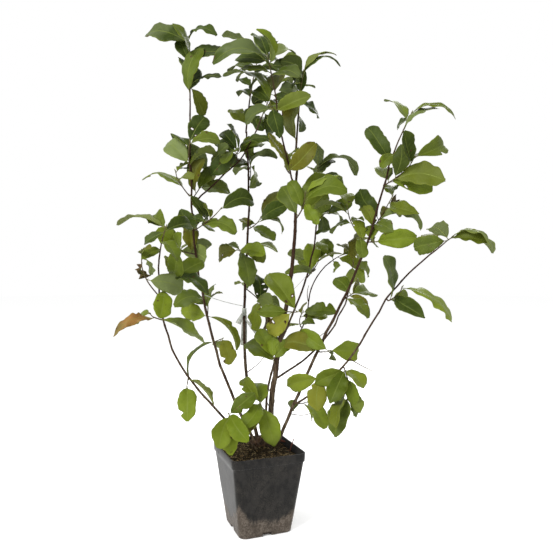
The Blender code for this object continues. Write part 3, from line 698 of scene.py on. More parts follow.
def grow_leaf(root, note, index, usual, luck):
    """The whole leaf behind a note, before it is nudged clear of its neighbours."""
    roll, upper_shows, curls = FACING[note.facing]
    whole = max(note.shown, (1 - LEAF_SHARE) * note.shown + LEAF_SHARE * usual)
    whole *= 1 + luck.uniform(0, LEAF_SPREAD)
    lean = degrees(acos(note.shown / whole))
    rises = cos(radians(30 * note.hour))
    away = (rises > 0) == upper_shows
    if abs(rises) < 0.45 or note.facing == "e" or luck.random() < 0.3:
        away = index % 2 == 0
    width = LEAF_WIDTH * whole * luck.uniform(0.92, 1.1)
    curl = luck.uniform(*curls)
    return root, note.hour, lean if away else -lean, roll, upper_shows, whole, width, curl


def face_leaf(root, hour, lean, roll, upper_shows, whole, width, curl):
    """Turns the blade about its midrib: broadside to the viewer, then rolled with its upper side up."""
    along = clock(hour, lean)
    viewer = Vector((0, -1, 0))
    normal = (viewer - along * viewer.dot(along)).normalized()
    beside = along.cross(normal)
    if not upper_shows:
        normal = -normal
    if beside.z < 0 or (abs(beside.z) < 0.05 and beside.x < 0):
        beside = -beside
    normal = normal * cos(roll) + beside * sin(roll)
    return Leaf(root, along, normal, whole, width, curl)


def nudges():
    """Changes of lean, hour and roll for a leaf that has no room, the gentlest first."""
    leans = (0, 9, -9, 18, -18, 28, -28, 40, -40, 55, -55)
    options = [
        (lean, hour, roll) for lean in leans for hour in (0, 0.25, -0.25, 0.5, -0.5) for roll in (0, 20, -20, 40)
    ]
    return sorted(options, key=lambda change: abs(change[0]) + 50 * abs(change[1]) + 0.6 * abs(change[2]))


def leaf_trees(leaf, room=0.0):
    """Search trees of the whole leaf and of its blade alone."""
    body = leaf_body(leaf, room)
    whole = bvh(body)
    blade_start = spine(leaf, PETIOLE_SHARE * 1.3)[0]
    behind = [vert for vert in body.verts if (vert.co - blade_start).dot(leaf.along) < 0]
    bmesh.ops.delete(body, geom=behind, context="VERTS")
    blade = bvh(body)
    body.free()
    return whole, blade


def place_leaf(grown, walls, twig_tree, own_blades):
    """The first nudge that keeps a leaf clear of walls, and its blade of its own twig and neighbours."""
    root, hour, lean, roll, upper_shows, whole, width, curl = grown
    for more_lean, more_hour, more_roll in NUDGES:
        new_lean = max(-80, min(80, lean + more_lean))
        leaf = face_leaf(
            root, hour + more_hour, new_lean, roll + radians(more_roll), upper_shows, whole, width, curl
        )
        tree, blade = leaf_trees(leaf, LEAF_ROOM)
        if blade.overlap(twig_tree) or any(own.overlap(tree) for own in own_blades):
            continue
        if not any(tree.overlap(wall) for wall in walls):
            return leaf
    return None


# %% Twigs of the plan
Twig = namedtuple("Twig", "path radii facing way host_radius leaves")


def twig_path(foot, facing, way, reach, foot_radius):
    """Out of the host, then round into its own way with a slight upward bow."""
    collar = foot + facing * COLLAR * foot_radius
    path = [foot]
    for step in range(TWIG_STEPS + 1):
        share = step / TWIG_STEPS
        path.append(collar + (way * share + facing * TWIG_BOW * sin(pi * share)) * reach)
    return path


def along_path(path, share):
    """A point on the twig past its collar."""
    place = share * (len(path) - 2)
    index = min(int(place), len(path) - 3)
    return path[index + 1].lerp(path[index + 2], place - index)


def grow_twig(name, shoot, limbs, walls):
    """The twig of one mass, leaned until it has room. Its search tree goes onto the walls."""
    host = limbs[shoot.host]
    foot_radius = host.tip_radius if shoot.at == 1 else TWIG_FOOT
    taper = [foot_radius + (TWIG_TIP - foot_radius) * step / TWIG_STEPS for step in range(TWIG_STEPS + 1)]
    for more_lean in TWIG_LEANS:
        way = clock(shoot.hour, shoot.lean + more_lean)
        foot, facing = host.seat(shoot.at, way)
        path = twig_path(foot, facing, way, shoot.reach, foot_radius)
        radii = [foot_radius] + taper
        body = sweep(tube(path, radii, PLAN_TWIG_SIDES, facing), point=path[-1] + way * BUD)
        tree = bvh(body)
        body.free()
        if not any(tree.overlap(wall) for wall in walls.values()):
            walls[name] = tree
            return Twig(path, radii, facing, way, host.radius(shoot.at), [])
    raise ValueError("no room for the twig of " + name)


def grow_leaves(name, words, twig, walls, own_blades, seed, usual=LEAF_LENGTH):
    """The leaves of one shoot that find room, longest first, each with its note."""
    luck = random.Random(seed)
    notes = [read_note(word) for word in words.split()]
    others = [wall for owner, wall in walls.items() if owner != name]
    for index, note in sorted(enumerate(notes), key=lambda numbered: -numbered[1].shown):
        share = FIRST_LEAF + (LAST_LEAF - FIRST_LEAF) * note.seat + LEAF_STAGGER * index
        grown = grow_leaf(along_path(twig.path, share), note, index, usual, luck)
        leaf = place_leaf(grown, others, walls[name], own_blades)
        if leaf is None:
            continue
        whole_tree, blade_tree = leaf_trees(leaf)
        walls[f"{seed} leaf {index}"] = whole_tree
        own_blades.append(blade_tree)
        twig.leaves.append((leaf, note))


# %% Grow it
NUDGES = nudges()
walls = {"pot": node_tree_of("pot"), "soil": node_tree_of("soil")}
limbs = grow_limbs()
walls.update((name, limb.tree) for name, limb in limbs.items())
twigs = {name: grow_twig(name, shoot, limbs, walls) for name, shoot in SHOOTS.items()}
blades = {name: [] for name in SHOOTS}
for name, shoot in SHOOTS.items():
    grow_leaves(name, shoot.leaves, twigs[name], walls, blades[name], name)
for name, words in YOUNG.items():
    grow_leaves(name, words, twigs[name], walls, blades[name], "young " + name, YOUNG_LENGTH)
print("leaves", sum(len(twig.leaves) for twig in twigs.values()))

# %% [markdown]
# ## Pieces from meshes and from arrays
# A large piece is modelled in a bmesh. Small things that repeat by the hundred, such as leaves
# and crumbs, are gathered as arrays of points and faces and become one mesh in the end, which is
# much faster. Either way the object stays at the origin and its place is in its mesh.


# %% Piece helpers
def show(mesh, name, looks, slot, *nodes):
    """An object that rides on the plant and stands for those fixed solids."""
    for look in looks:
        mesh.materials.append(look)
    mesh.shade_smooth()
    piece = bpy.data.objects.new(name, mesh)
    bpy.context.collection.objects.link(piece)
    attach(piece, "root")
    if nodes:
        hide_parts(*nodes)
    return piece


def mesh_of(bm, name):
    mesh = bpy.data.meshes.new(name)
    bm.to_mesh(mesh)
    bm.free()
    return mesh


class Heap:
    """Small shapes gathered as arrays. values are one number per point, kept as attributes."""

    def __init__(self, *value_names):
        self.value_names = value_names
        self.points, self.faces, self.slots, self.uvs = [], [], [], []
        self.values = {key: [] for key in value_names}
        self.count = 0

    def add(self, points, faces, slots=None, uvs=None, **values):
        points = np.asarray(points, float)
        self.points.append(points)
        self.faces.extend([tuple(int(corner) + self.count for corner in face) for face in faces])
        self.slots.extend(slots if slots is not None else [0] * len(faces))
        self.uvs.append(uvs if uvs is not None else np.zeros((len(points), 2)))
        for key in self.value_names:
            given = values.get(key, 0.0)
            self.values[key].append(np.broadcast_to(np.asarray(given, float), (len(points),)))
        self.count += len(points)

    def mesh(self, name):
        mesh = bpy.data.meshes.new(name)
        mesh.from_pydata(np.concatenate(self.points).tolist(), [], self.faces)
        mesh.polygons.foreach_set("material_index", self.slots)
        corners = np.empty(len(mesh.loops), np.int32)
        mesh.loops.foreach_get("vertex_index", corners)
        layer = mesh.uv_layers.new(name="UVMap")
        layer.uv.foreach_set("vector", np.concatenate(self.uvs)[corners].ravel().astype(np.float32))
        for key in self.value_names:
            attribute = mesh.attributes.new(key, "FLOAT", "POINT")
            attribute.data.foreach_set("value", np.concatenate(self.values[key]).astype(np.float32))
        mesh.update()
        return mesh


def bar(path, radii, sides, start=None):
    """Points and faces of a round bar with closed ends, for a heap."""
    start = start or (path[1] - path[0]).normalized()
    rings = tube(path, radii, sides, start)
    points = [point for ring in rings for point in ring]
    faces = []
    for low in range(len(rings) - 1):
        for side in range(sides):
            after = (side + 1) % sides
            first, second = low * sides, (low + 1) * sides
            faces.append((first + side, first + after, second + after, second + side))
    faces.append(tuple(reversed(range(sides))))
    faces.append(tuple(range(len(points) - sides, len(points))))
    return points, faces


# %% [markdown]
# ## Bark
# The stems are a few millimetres thick. Low down their bark is grey-brown and dull. Towards the
# tips it turns a dark purplish brown with a slight gloss. Every few centimetres a ring shows
# where a leaf once sat, and small pale pores dot the surface. The rings, a scar beside each and
# an uneven surface are real shape. The pores and the colours are in the finish.

# %% Bark finish
BARK_OLD = (0.044, 0.029, 0.017, 1)
BARK_OLD_PALE = (0.125, 0.095, 0.060, 1)
BARK_YOUNG = (0.023, 0.010, 0.005, 1)
BARK_PORE = (0.170, 0.115, 0.070, 1)


def height_mask(tree, low, high):
    """0 below low and 1 above high, in metres above the ground."""
    place = add_node(tree, "ShaderNodeTexCoord").outputs["Object"]
    apart = add_node(tree, "ShaderNodeSeparateXYZ")
    tree.links.new(place, apart.inputs[0])
    return range_of(tree, apart.outputs["Z"], low, high)


def bark_nodes(tree):
    streaks = place_group(tree, blotches, Scale=170.0, Stretch=0.22)
    broad = place_group(tree, blotches, Scale=26.0, Stretch=0.5)
    old = blend(tree, streaks["Patch"], BARK_OLD, BARK_OLD_PALE)
    young = blend(tree, maths(tree, "MULTIPLY", streaks["Patch"], 0.35), BARK_YOUNG, BARK_OLD)
    age = maths(tree, "MULTIPLY_ADD", broad["Patch"], 0.45, height_mask(tree, 0.24, 0.74))
    colour = blend(tree, maths(tree, "MINIMUM", age, 1.0), old, young)
    pores = add_node(tree, "ShaderNodeTexVoronoi")
    place = add_node(tree, "ShaderNodeTexCoord").outputs["Object"]
    feed(tree, pores, Vector=place, Scale=185.0)
    pore = maths(tree, "SUBTRACT", 1.0, range_of(tree, pores.outputs["Distance"], 0.06, 0.16))
    colour = blend(tree, maths(tree, "MULTIPLY", pore, 0.42), colour, BARK_PORE)
    height = maths(tree, "ADD", streaks["Patch"], pore)
    roughness = maths(tree, "MULTIPLY_ADD", streaks["Speck"], 0.18, 0.58)
    relief = bump(tree, height, 0.5, 0.0006)
    return {"Base_Color": colour, "Roughness": roughness, "Normal": relief, "Specular_IOR_Level": 0.06}


bark = finish("bark", bark_nodes)

# %% Stems and boughs with relief
BARK_SIDES = 14
BARK_STEP = 0.0042
KINK = 0.0011
NODE_SPACING = 0.034
NODE_SWELL = 0.10
NODE_REACH = 0.0032
SCAR_SWELL = 0.22
BARK_ROUGH = 0.055
STEM_SUNK = 0.010


def bark_limb(name, limb):
    """A stem or bough as a closed body with leaf scars, swollen nodes and an uneven surface."""
    luck = random.Random("bark of " + name)
    nodes = []
    reach = luck.uniform(0.4, 1.0) * NODE_SPACING
    while reach < limb.length:
        nodes.append((reach, luck.uniform(0, tau)))
        reach += NODE_SPACING * luck.uniform(0.6, 1.5)
    kinks = [0] + [reach / limb.length for reach, _ in nodes] + [1]
    swings = [[0] + [luck.gauss(0, KINK) for _ in nodes] + [0] for _ in range(3)]
    count = round(limb.length / BARK_STEP)
    shares = [step / count for step in range(count + 1)]
    path = [limb.point(share) + Vector([np.interp(share, kinks, swing) for swing in swings]) for share in shares]
    radii = [limb.radius(share) for share in shares]
    if limb.flare:
        path.insert(0, limb.foot - Vector((0, 0, STEM_SUNK)))
        radii.insert(0, radii[0] * 1.1)
    else:
        for back, swell in ((0.6, 1.12), (1.6, 1.3), (3.0, 1.3)):
            path.insert(0, limb.foot - limb.start * back * limb.foot_radius)
            radii.insert(0, limb.foot_radius * swell)
    rings = tube(path, radii, BARK_SIDES, limb.start, limb.ahead(1))
    travelled = 0.0
    shaped = []
    for index, ring in enumerate(rings):
        middle = path[index]
        if index:
            travelled += (middle - path[index - 1]).length
        new_ring = []
        for side, place in enumerate(ring):
            turn = tau * side / BARK_SIDES
            grow = BARK_ROUGH * noise.noise(Vector((place.x * 420, place.y * 420, place.z * 110)))
            for node_at, scar in nodes:
                near = exp(-(((travelled - node_at) / NODE_REACH) ** 2))
                if near > 0.01:
                    facing = max(0.0, cos(turn - scar))
                    grow += near * (NODE_SWELL + SCAR_SWELL * facing**4)
            new_ring.append(middle + (place - middle) * (1 + grow))
        shaped.append(new_ring)
    return sweep(shaped)


bark_faces = 0
for name, limb in limbs.items():
    mesh = mesh_of(bark_limb(name, limb), "bark_" + name)
    bark_faces += len(mesh.polygons)
    show(mesh, "bark_" + name, [bark], "bark", name)
print("bark triangles", bark_faces)

# %% [markdown]
# ## Twigs, petioles and buds
# A twig is brown at its foot and green at its tip, so a value called age is kept on its points
# and the finish mixes by it. It starts inside its stem with a small collar, wobbles and swells a
# little on its way, and ends in a pointed, downy bud. Each leaf has a petiole that runs on as the
# raised midrib under the blade.

# %% Twig finish
TWIG_BROWN = (0.036, 0.017, 0.010, 1)
TWIG_GREEN = (0.078, 0.070, 0.022, 1)
RIB_PALE = (0.200, 0.235, 0.055, 1)
BUD_DOWN = (0.150, 0.150, 0.070, 1)


def aged_nodes(tree, old, young):
    age = feed(tree, add_node(tree, "ShaderNodeAttribute", attribute_name="age")).outputs["Fac"]
    uneven = place_group(tree, blotches, Scale=90.0, Stretch=0.4)
    mixed = maths(tree, "MULTIPLY_ADD", uneven["Patch"], 0.25, maths(tree, "SUBTRACT", age, 0.12))
    clamped = maths(tree, "MAXIMUM", maths(tree, "MINIMUM", mixed, 1.0), 0.0)
    colour = blend(tree, clamped, old, young)
    roughness = maths(tree, "MULTIPLY_ADD", uneven["Speck"], 0.2, 0.5)
    relief = bump(tree, uneven["Speck"], 0.3, 0.0003)
    return {"Base_Color": colour, "Roughness": roughness, "Normal": relief, "Specular_IOR_Level": 0.12}


twig_bark = finish("twig_bark", aged_nodes, old=TWIG_BROWN, young=TWIG_GREEN)
petiole_skin = finish("petiole_skin", aged_nodes, old=TWIG_GREEN, young=RIB_PALE)
bud_down = finish("bud_down", aged_nodes, old=TWIG_GREEN, young=BUD_DOWN)

# %% Twigs
TWIG_ROUND = 8
TWIG_FINE_STEPS = 26
TWIG_KNEE = 0.0006


def curve_through(path, count):
    """Points on a smooth curve through the given ones, evenly dealt out by share."""
    last = len(path) - 1
    smooth = []
    for step in range(count + 1):
        place = step / count * last
        index = min(int(place), last - 1)
        part = place - index
        before, after = path[max(index - 1, 0)], path[min(index + 2, last)]
        here, there = path[index], path[index + 1]
        smooth.append(
            0.5 * (
                2 * here + (there - before) * part
                + (2 * before - 5 * here + 4 * there - after) * part**2
                + (3 * here - before - 3 * there + after) * part**3
            )
        )
    return smooth


def add_twig(heap, name, twig):
    luck = random.Random("twig of " + name)
    inside = twig.path[0] - twig.facing * twig.host_radius * 0.8
    way = [inside] + list(twig.path)
    path = curve_through(way, TWIG_FINE_STEPS)
    shares = np.linspace(0, 1, len(path))
    plain = np.interp(shares * (len(way) - 1), range(len(way)), [twig.radii[0] * 1.25] + list(twig.radii))
    knees = [luck.uniform(0.1, 1.0) for _ in range(4)]
    radii = []
    for share, radius in zip(shares, plain):
        swell = sum(exp(-(((share - knee) / 0.03) ** 2)) for knee in knees)
        radii.append(radius * (1 + 0.18 * swell))
    wobble = [Vector((luck.gauss(0, 1), luck.gauss(0, 1), luck.gauss(0, 1))) * TWIG_KNEE for _ in range(6)]
    for index, share in enumerate(shares):
        path[index] = path[index] + wobble[int(share * 5)].lerp(wobble[min(int(share * 5) + 1, 5)], share * 5 % 1)
    points, faces = bar(path, radii, TWIG_ROUND)
    heap.add(points, faces, age=np.repeat(shares**3, TWIG_ROUND))


# Bare side twigs: the host, the share of its length, the hour, the lean and the reach.
BARE_TWIGS = (
    ("bough_east", 0.34, 1.4, 20, 0.066), ("stem_centre", 0.385, 0.7, -20, 0.064),
    ("bough_inner", 0.58, 0.1, 10, 0.046), ("stem_centre", 0.13, 11.5, 25, 0.050),
    ("stem_east", 0.115, 2.7, -15, 0.052), ("bough_east_low", 0.34, 3.9, -20, 0.058),
    ("stem_centre_west", 0.24, 1.45, -20, 0.084), ("stem_west", 0.52, 10.9, 30, 0.030),
)
BARE_RADIUS = 0.0012


def bare_twig(host, at, hour, lean, reach):
    """A thin leafless twig as a twig of the plan, so that it is drawn by the same rule."""
    way = clock(hour, lean)
    foot, facing = host.seat(at, way)
    radii = [BARE_RADIUS] + [BARE_RADIUS * (1 - 0.45 * step / TWIG_STEPS) for step in range(TWIG_STEPS + 1)]
    return Twig(twig_path(foot, facing, way, reach, BARE_RADIUS), radii, facing, way, host.radius(at), [])


twig_heap = Heap("age")
for name, twig in twigs.items():
    add_twig(twig_heap, name, twig)
for index, (host_name, *where) in enumerate(BARE_TWIGS):
    add_twig(twig_heap, f"bare {index}", bare_twig(limbs[host_name], *where))
show(twig_heap.mesh("twigs"), "twigs", [twig_bark], "bark", *SHOOTS)
print("twig points", twig_heap.count)

# %% Petioles and midribs
RIB_STATIONS = (0.0, 0.05, 0.12, 0.2, 0.3, 0.42, 0.56, 0.7, 0.84, 0.95)
RIB_SIDES = 5
RIB_TIP = 0.00022
BLADE_THICK = 0.00042
FOLDED_SHARE = 0.14
ARCHED_SLIM = 0.72
DRIED_SLIM = 0.50
HOOK_START = 0.55

LeafShape = namedtuple("LeafShape", "twist sway waves wave phases fold droop hook ragged crimp blunt slim")


def shape_of(leaf, note, name, index):
    """The chances of one leaf's growth: its twist, sway and fold, a tip that hooks and wavy edges."""
    luck = random.Random(f"{name} {index} {leaf.length:.4f}")
    folded = luck.random() < FOLDED_SHARE
    shape = LeafShape(
        twist=luck.gauss(0, 0.32),
        sway=luck.gauss(0, 0.045),
        waves=luck.uniform(1.3, 3.2),
        wave=luck.uniform(0.012, 0.042),
        phases=(luck.uniform(0, tau), luck.uniform(0, tau)),
        fold=LEAF_FOLD * (luck.uniform(1.8, 2.6) if folded else luck.uniform(0.5, 1.4)),
        droop=luck.uniform(-0.01, 0.07),
        hook=luck.gauss(0.25, 0.35),
        ragged=[
            (luck.uniform(*sizes), luck.uniform(*waves), luck.uniform(0, tau))
            for sizes, waves in [((0.03, 0.08), (0.7, 2.2))] * 4 + [((0.006, 0.022), (3.5, 8.5))] * 4
        ],
        crimp=luck.uniform(0.002, 0.009),
        blunt=luck.random(),
        slim=1.0,
    )
    if note.facing == "a":
        shape = shape._replace(slim=ARCHED_SLIM)
    if note.look == "r":
        shape = shape._replace(wave=2.2 * shape.wave, slim=DRIED_SLIM, hook=1.3, crimp=0.02)
    if note.look == "w":
        shape = shape._replace(wave=3 * shape.wave, fold=2.4 * shape.fold, hook=1.5, crimp=0.03)
    return shape


def rib_frame(leaf, shape, share):
    """Places, upward ways and sideways ways along the midrib, as arrays, for shares of the leaf."""
    share = np.asarray(share, float)
    half, here = leaf.curl / 2, leaf.curl * (0.5 - share)
    run, rise = 0.5 - np.sin(here) / (2 * sin(half)), (np.cos(here) - cos(half)) / (2 * sin(half))
    along, normal = np.array(leaf.along), np.array(leaf.normal)
    side = np.cross(along, normal)
    blade = np.clip((share - PETIOLE_SHARE) / (1 - PETIOLE_SHARE), 0, 1)
    sideways = leaf.length * shape.sway * np.sin(pi * blade)
    hooked = leaf.length * shape.hook * np.clip(blade - HOOK_START, 0, 1) ** 2
    place = np.array(leaf.root) + leaf.length * (np.outer(run, along) + np.outer(rise, normal))
    place = place + np.outer(sideways, side) - np.outer(hooked, normal)
    up = np.outer(np.cos(here), normal) - np.outer(np.sin(here), along)
    turn = shape.twist * blade
    across = side * np.cos(turn)[:, None] + up * np.sin(turn)[:, None]
    up = up * np.cos(turn)[:, None] - side * np.sin(turn)[:, None]
    return place, up, across


def add_rib(heap, leaf, shape):
    place, up, _ = rib_frame(leaf, shape, RIB_STATIONS)
    shares = np.array(RIB_STATIONS)
    radii = np.where(shares <= PETIOLE_SHARE, PETIOLE_RADIUS, PETIOLE_RADIUS * (1 - shares) ** 0.8 + RIB_TIP)
    lower = place - up * (radii * np.clip((shares - 0.05) / 0.15, 0, 1) * 0.55)[:, None]
    points, faces = bar([Vector(point) for point in lower], list(radii), RIB_SIDES)
    heap.add(points, faces, age=np.repeat(np.clip(shares * 4, 0, 1), RIB_SIDES))


rib_heap = Heap("age")
leaf_shapes = {}
for name, twig in twigs.items():
    for index, (leaf, note) in enumerate(twig.leaves):
        leaf_shapes[name, index] = shape_of(leaf, note, name, index)
        add_rib(rib_heap, leaf, leaf_shapes[name, index])
show(rib_heap.mesh("petioles"), "petioles", [petiole_skin], "leaf", *SHOOTS)
print("petioles", len(leaf_shapes))

# %% Buds
BUD_LENGTH = 0.011
BUD_RADIUS = 0.0019
BUD_SIDES = 8
BUD_PROFILE = ((0.0, 0.55), (0.15, 0.85), (0.35, 1.0), (0.6, 0.78), (0.82, 0.42), (0.96, 0.14))


def add_bud(heap, root, way, size):
    path = [root + way * (BUD_LENGTH * size * share) for share, _ in BUD_PROFILE]
    radii = [BUD_RADIUS * size * wide for _, wide in BUD_PROFILE]
    points, faces = bar(path, radii, BUD_SIDES, way)
    heap.add(points, faces, age=np.repeat([share for share, _ in BUD_PROFILE], BUD_SIDES))


bud_heap = Heap("age")
for name, twig in twigs.items():
    luck = random.Random("buds of " + name)
    add_bud(bud_heap, twig.path[-1] - twig.way * 0.002, twig.way, luck.uniform(0.7, 1.0))
    for leaf, note in twig.leaves:
        out = (leaf.along + twig.way * 0.9).normalized()
        add_bud(bud_heap, leaf.root, out, luck.uniform(0.30, 0.45))
show(bud_heap.mesh("buds"), "buds", [bud_down], "leaf", *SHOOTS)
print("bud points", bud_heap.count)

# %% [markdown]
# ## Leaf finish
# A leaf is darker and glossier on top and pale and dull beneath. Its edge and its veins are
# paler than the rest, and old leaves turn yellow or brown from their edges in. The veins follow
# the blade, so they are drawn on the leaf's own map, in a group that every leaf finish shares:
# x runs across the blade and y from its base to its tip.

# %% The shared veins
VEIN_PAIRS = 7.0
VEIN_SLANT = 0.26
VEIN_BEND = 0.8
SIDE_VEIN_SHOW = 0.36


def make_veins():
    number = "NodeSocketFloat"
    tree, given, result = new_group(
        "leaf_veins", [("Width", number, 0.13)], [("Vein", number), ("Edge", number), ("Height", number)]
    )
    place = add_node(tree, "ShaderNodeUVMap", uv_map="UVMap").outputs["UV"]
    apart = add_node(tree, "ShaderNodeSeparateXYZ")
    tree.links.new(place, apart.inputs[0])
    across = maths(tree, "ABSOLUTE", maths(tree, "MULTIPLY_ADD", apart.outputs["X"], 2.0, -1.0))
    bent = maths(tree, "MULTIPLY", maths(tree, "POWER", across, VEIN_BEND), -VEIN_SLANT)
    phase = maths(tree, "MULTIPLY", maths(tree, "ADD", apart.outputs["Y"], bent), VEIN_PAIRS)
    saw = maths(tree, "ABSOLUTE", maths(tree, "SUBTRACT", maths(tree, "FRACT", phase), 0.5))
    side_vein = maths(tree, "SUBTRACT", 1.0, range_of(tree, saw, 0.0, given["Width"]))
    side_vein = maths(tree, "MULTIPLY", side_vein, maths(tree, "SUBTRACT", 1.0, across))
    side_vein = maths(tree, "MULTIPLY", side_vein, SIDE_VEIN_SHOW)
    midrib = maths(tree, "SUBTRACT", 1.0, range_of(tree, across, 0.015, 0.075))
    vein = maths(tree, "MAXIMUM", side_vein, midrib)
    tree.links.new(vein, result["Vein"])
    tree.links.new(range_of(tree, across, 0.86, 1.0), result["Edge"])
    quilt = maths(tree, "MULTIPLY", maths(tree, "SINE", maths(tree, "MULTIPLY", saw, pi)), 0.6)
    tree.links.new(maths(tree, "SUBTRACT", quilt, vein), result["Height"])
    return tree


leaf_veins = make_veins()


# %% The shared spots
SPOT_CELLS = (2.2, 4.0, 0.0)
SPOT_LARGEST = 0.17


def make_spots():
    """Small round marks of old damage on the leaf's map. Each leaf's own number deals them out."""
    number = "NodeSocketFloat"
    tree, given, result = new_group(
        "leaf_spots", [("Own", number, 0.0)], [("Spot", number), ("Heart", number)]
    )
    place = add_node(tree, "ShaderNodeUVMap", uv_map="UVMap").outputs["UV"]
    spread = add_node(tree, "ShaderNodeVectorMath", operation="MULTIPLY")
    tree.links.new(place, spread.inputs[0])
    spread.inputs[1].default_value = SPOT_CELLS
    lift = feed(tree, add_node(tree, "ShaderNodeCombineXYZ"), Z=maths(tree, "MULTIPLY", given["Own"], 61.0))
    moved = add_node(tree, "ShaderNodeVectorMath", operation="ADD")
    tree.links.new(spread.outputs[0], moved.inputs[0])
    tree.links.new(lift.outputs[0], moved.inputs[1])
    cells = feed(tree, add_node(tree, "ShaderNodeTexVoronoi"), Vector=moved.outputs[0], Scale=1.0)
    spotty = maths(tree, "FRACT", maths(tree, "MULTIPLY", given["Own"], 9.7))
    size = maths(tree, "MULTIPLY_ADD", maths(tree, "MULTIPLY", spotty, spotty), SPOT_LARGEST, 0.01)
    distance = cells.outputs["Distance"]
    spot = range_of(tree, distance, maths(tree, "MULTIPLY", size, 0.7), size)
    heart = range_of(tree, distance, maths(tree, "MULTIPLY", size, 0.2), maths(tree, "MULTIPLY", size, 0.55))
    tree.links.new(maths(tree, "SUBTRACT", 1.0, spot), result["Spot"])
    tree.links.new(maths(tree, "SUBTRACT", 1.0, heart), result["Heart"])
    return tree


leaf_spots = make_spots()
print("groups on a leaf", leaf_veins.name, leaf_spots.name)

# %% A leaf finish
LEAF_BROWN = (0.048, 0.025, 0.011, 1)
SPOT_HEART = (0.130, 0.085, 0.045, 1)
# The next colour is a painted sheen: the grey-green of the pale surround reflected in a leaf's gloss.
LEAF_PAINTED_SHEEN = (0.100, 0.122, 0.050, 1)
# The next colour is partly a painted glow, the yellow-green of light shining through a thin blade, and partly a tone
# that differs from leaf to leaf.
LEAF_GLOW_AND_TONE = (0.110, 0.118, 0.012, 1)
LEAF_EDGE = (0.180, 0.205, 0.030, 1)
VEIN_SHOW = 0.45
EDGE_SHOW = 0.35
LEAF_SPECULAR = 0.055


def leaf_nodes(tree, colour, light, vein, gloss, haze, warm):
    lines = place_group(tree, leaf_veins, Width=0.13)
    patches = place_group(tree, blotches, Scale=38.0, Stretch=1.0)
    shade = feed(tree, add_node(tree, "ShaderNodeAttribute", attribute_name="shade")).outputs["Fac"]
    brown = feed(tree, add_node(tree, "ShaderNodeAttribute", attribute_name="brown")).outputs["Fac"]
    lightness = maths(tree, "MULTIPLY_ADD", patches["Patch"], 0.35, maths(tree, "MULTIPLY", shade, 0.65))
    base = blend(tree, lightness, colour, light)
    # Painted sheen: in soft patches the colour is drawn towards a reflected grey-green, more on some leaves than on
    # others.
    sheen_patches = place_group(tree, blotches, Scale=15.0, Stretch=1.0)
    painted_sheen_share = maths(tree, "POWER", maths(tree, "FRACT", maths(tree, "MULTIPLY", shade, 5.3)), 2.0)
    painted_sheen_share = maths(tree, "MULTIPLY", haze, maths(tree, "MULTIPLY_ADD", painted_sheen_share, 2.0, 0.3))
    base = blend(tree, maths(tree, "MULTIPLY", sheen_patches["Patch"], painted_sheen_share), base, LEAF_PAINTED_SHEEN)
    # Some leaves, dealt out by their own number, are drawn towards that yellow-green: partly a painted glow of light
    # through the blade, partly their own tone.
    glow_and_tone_share = maths(tree, "POWER", maths(tree, "FRACT", maths(tree, "MULTIPLY", shade, 3.7)), 3.0)
    base = blend(tree, maths(tree, "MULTIPLY", glow_and_tone_share, warm), base, LEAF_GLOW_AND_TONE)
    base = blend(tree, maths(tree, "MULTIPLY", lines["Vein"], VEIN_SHOW), base, vein)
    base = blend(tree, maths(tree, "MULTIPLY", lines["Edge"], EDGE_SHOW), base, LEAF_EDGE)
    fray = place_group(tree, blotches, Scale=110.0, Stretch=1.0)
    spotted = maths(tree, "MULTIPLY_ADD", fray["Patch"], 0.22, maths(tree, "MULTIPLY_ADD", fray["Speck"], 0.12, brown))
    spotted = maths(tree, "MULTIPLY", range_of(tree, spotted, 0.52, 0.66), range_of(tree, brown, 0.0, 0.15))
    base = blend(tree, maths(tree, "MULTIPLY", spotted, 0.85), base, LEAF_BROWN)
    marks = place_group(tree, leaf_spots, Own=shade)
    base = blend(tree, maths(tree, "MULTIPLY", marks["Spot"], 0.85), base, LEAF_BROWN)
    base = blend(tree, maths(tree, "MULTIPLY", marks["Heart"], 0.6), base, SPOT_HEART)
    roughness = maths(tree, "MULTIPLY_ADD", patches["Speck"], 0.14, gloss)
    relief = bump(tree, lines["Height"], 0.10, 0.0005)
    return {
        "Base_Color": base, "Roughness": roughness, "Normal": relief, "Specular_IOR_Level": LEAF_SPECULAR
    }


# %% The greens
# Each has a name, its usual colour, a lighter one and how much paler and greyer its under side is.
Green = namedtuple("Green", "name colour light under")
GREENS = {
    "d": Green("deep", (0.015, 0.026, 0.003), (0.032, 0.050, 0.005), 0.24),
    "g": Green("green", (0.044, 0.064, 0.004), (0.084, 0.111, 0.010), 0.45),
    "f": Green("fresh", (0.080, 0.112, 0.006), (0.130, 0.168, 0.014), 0.50),
    "o": Green("olive", (0.056, 0.055, 0.004), (0.092, 0.088, 0.009), 0.40),
    "y": Green("yellow", (0.108, 0.118, 0.010), (0.158, 0.162, 0.020), 0.40),
    "p": Green("pale", (0.074, 0.102, 0.025), (0.126, 0.156, 0.051), 0.50),
    "r": Green("rust", (0.150, 0.062, 0.014), (0.230, 0.125, 0.035), 0.20),
    "w": Green("withered", (0.030, 0.014, 0.006), (0.067, 0.033, 0.014), 0.15),
}
UNDER_PALE = (0.115, 0.138, 0.060)
# How strong the painted sheen is on the upper side and on the under side.
UPPER_PAINTED_SHEEN = 0.26
UNDER_PAINTED_SHEEN = 0.12
# How far a leaf goes towards the yellow-green of painted glow and own tone; deep greens go less far.
GLOW_AND_TONE_SHOW = 0.45
GLOW_AND_TONE_DEEP = 0.12
VEIN_UPPER = (0.130, 0.160, 0.030, 1)
VEIN_UNDER = (0.190, 0.220, 0.080, 1)


def mixed(first, second, share):
    return (*(a + (b - a) * share for a, b in zip(first, second)), 1)


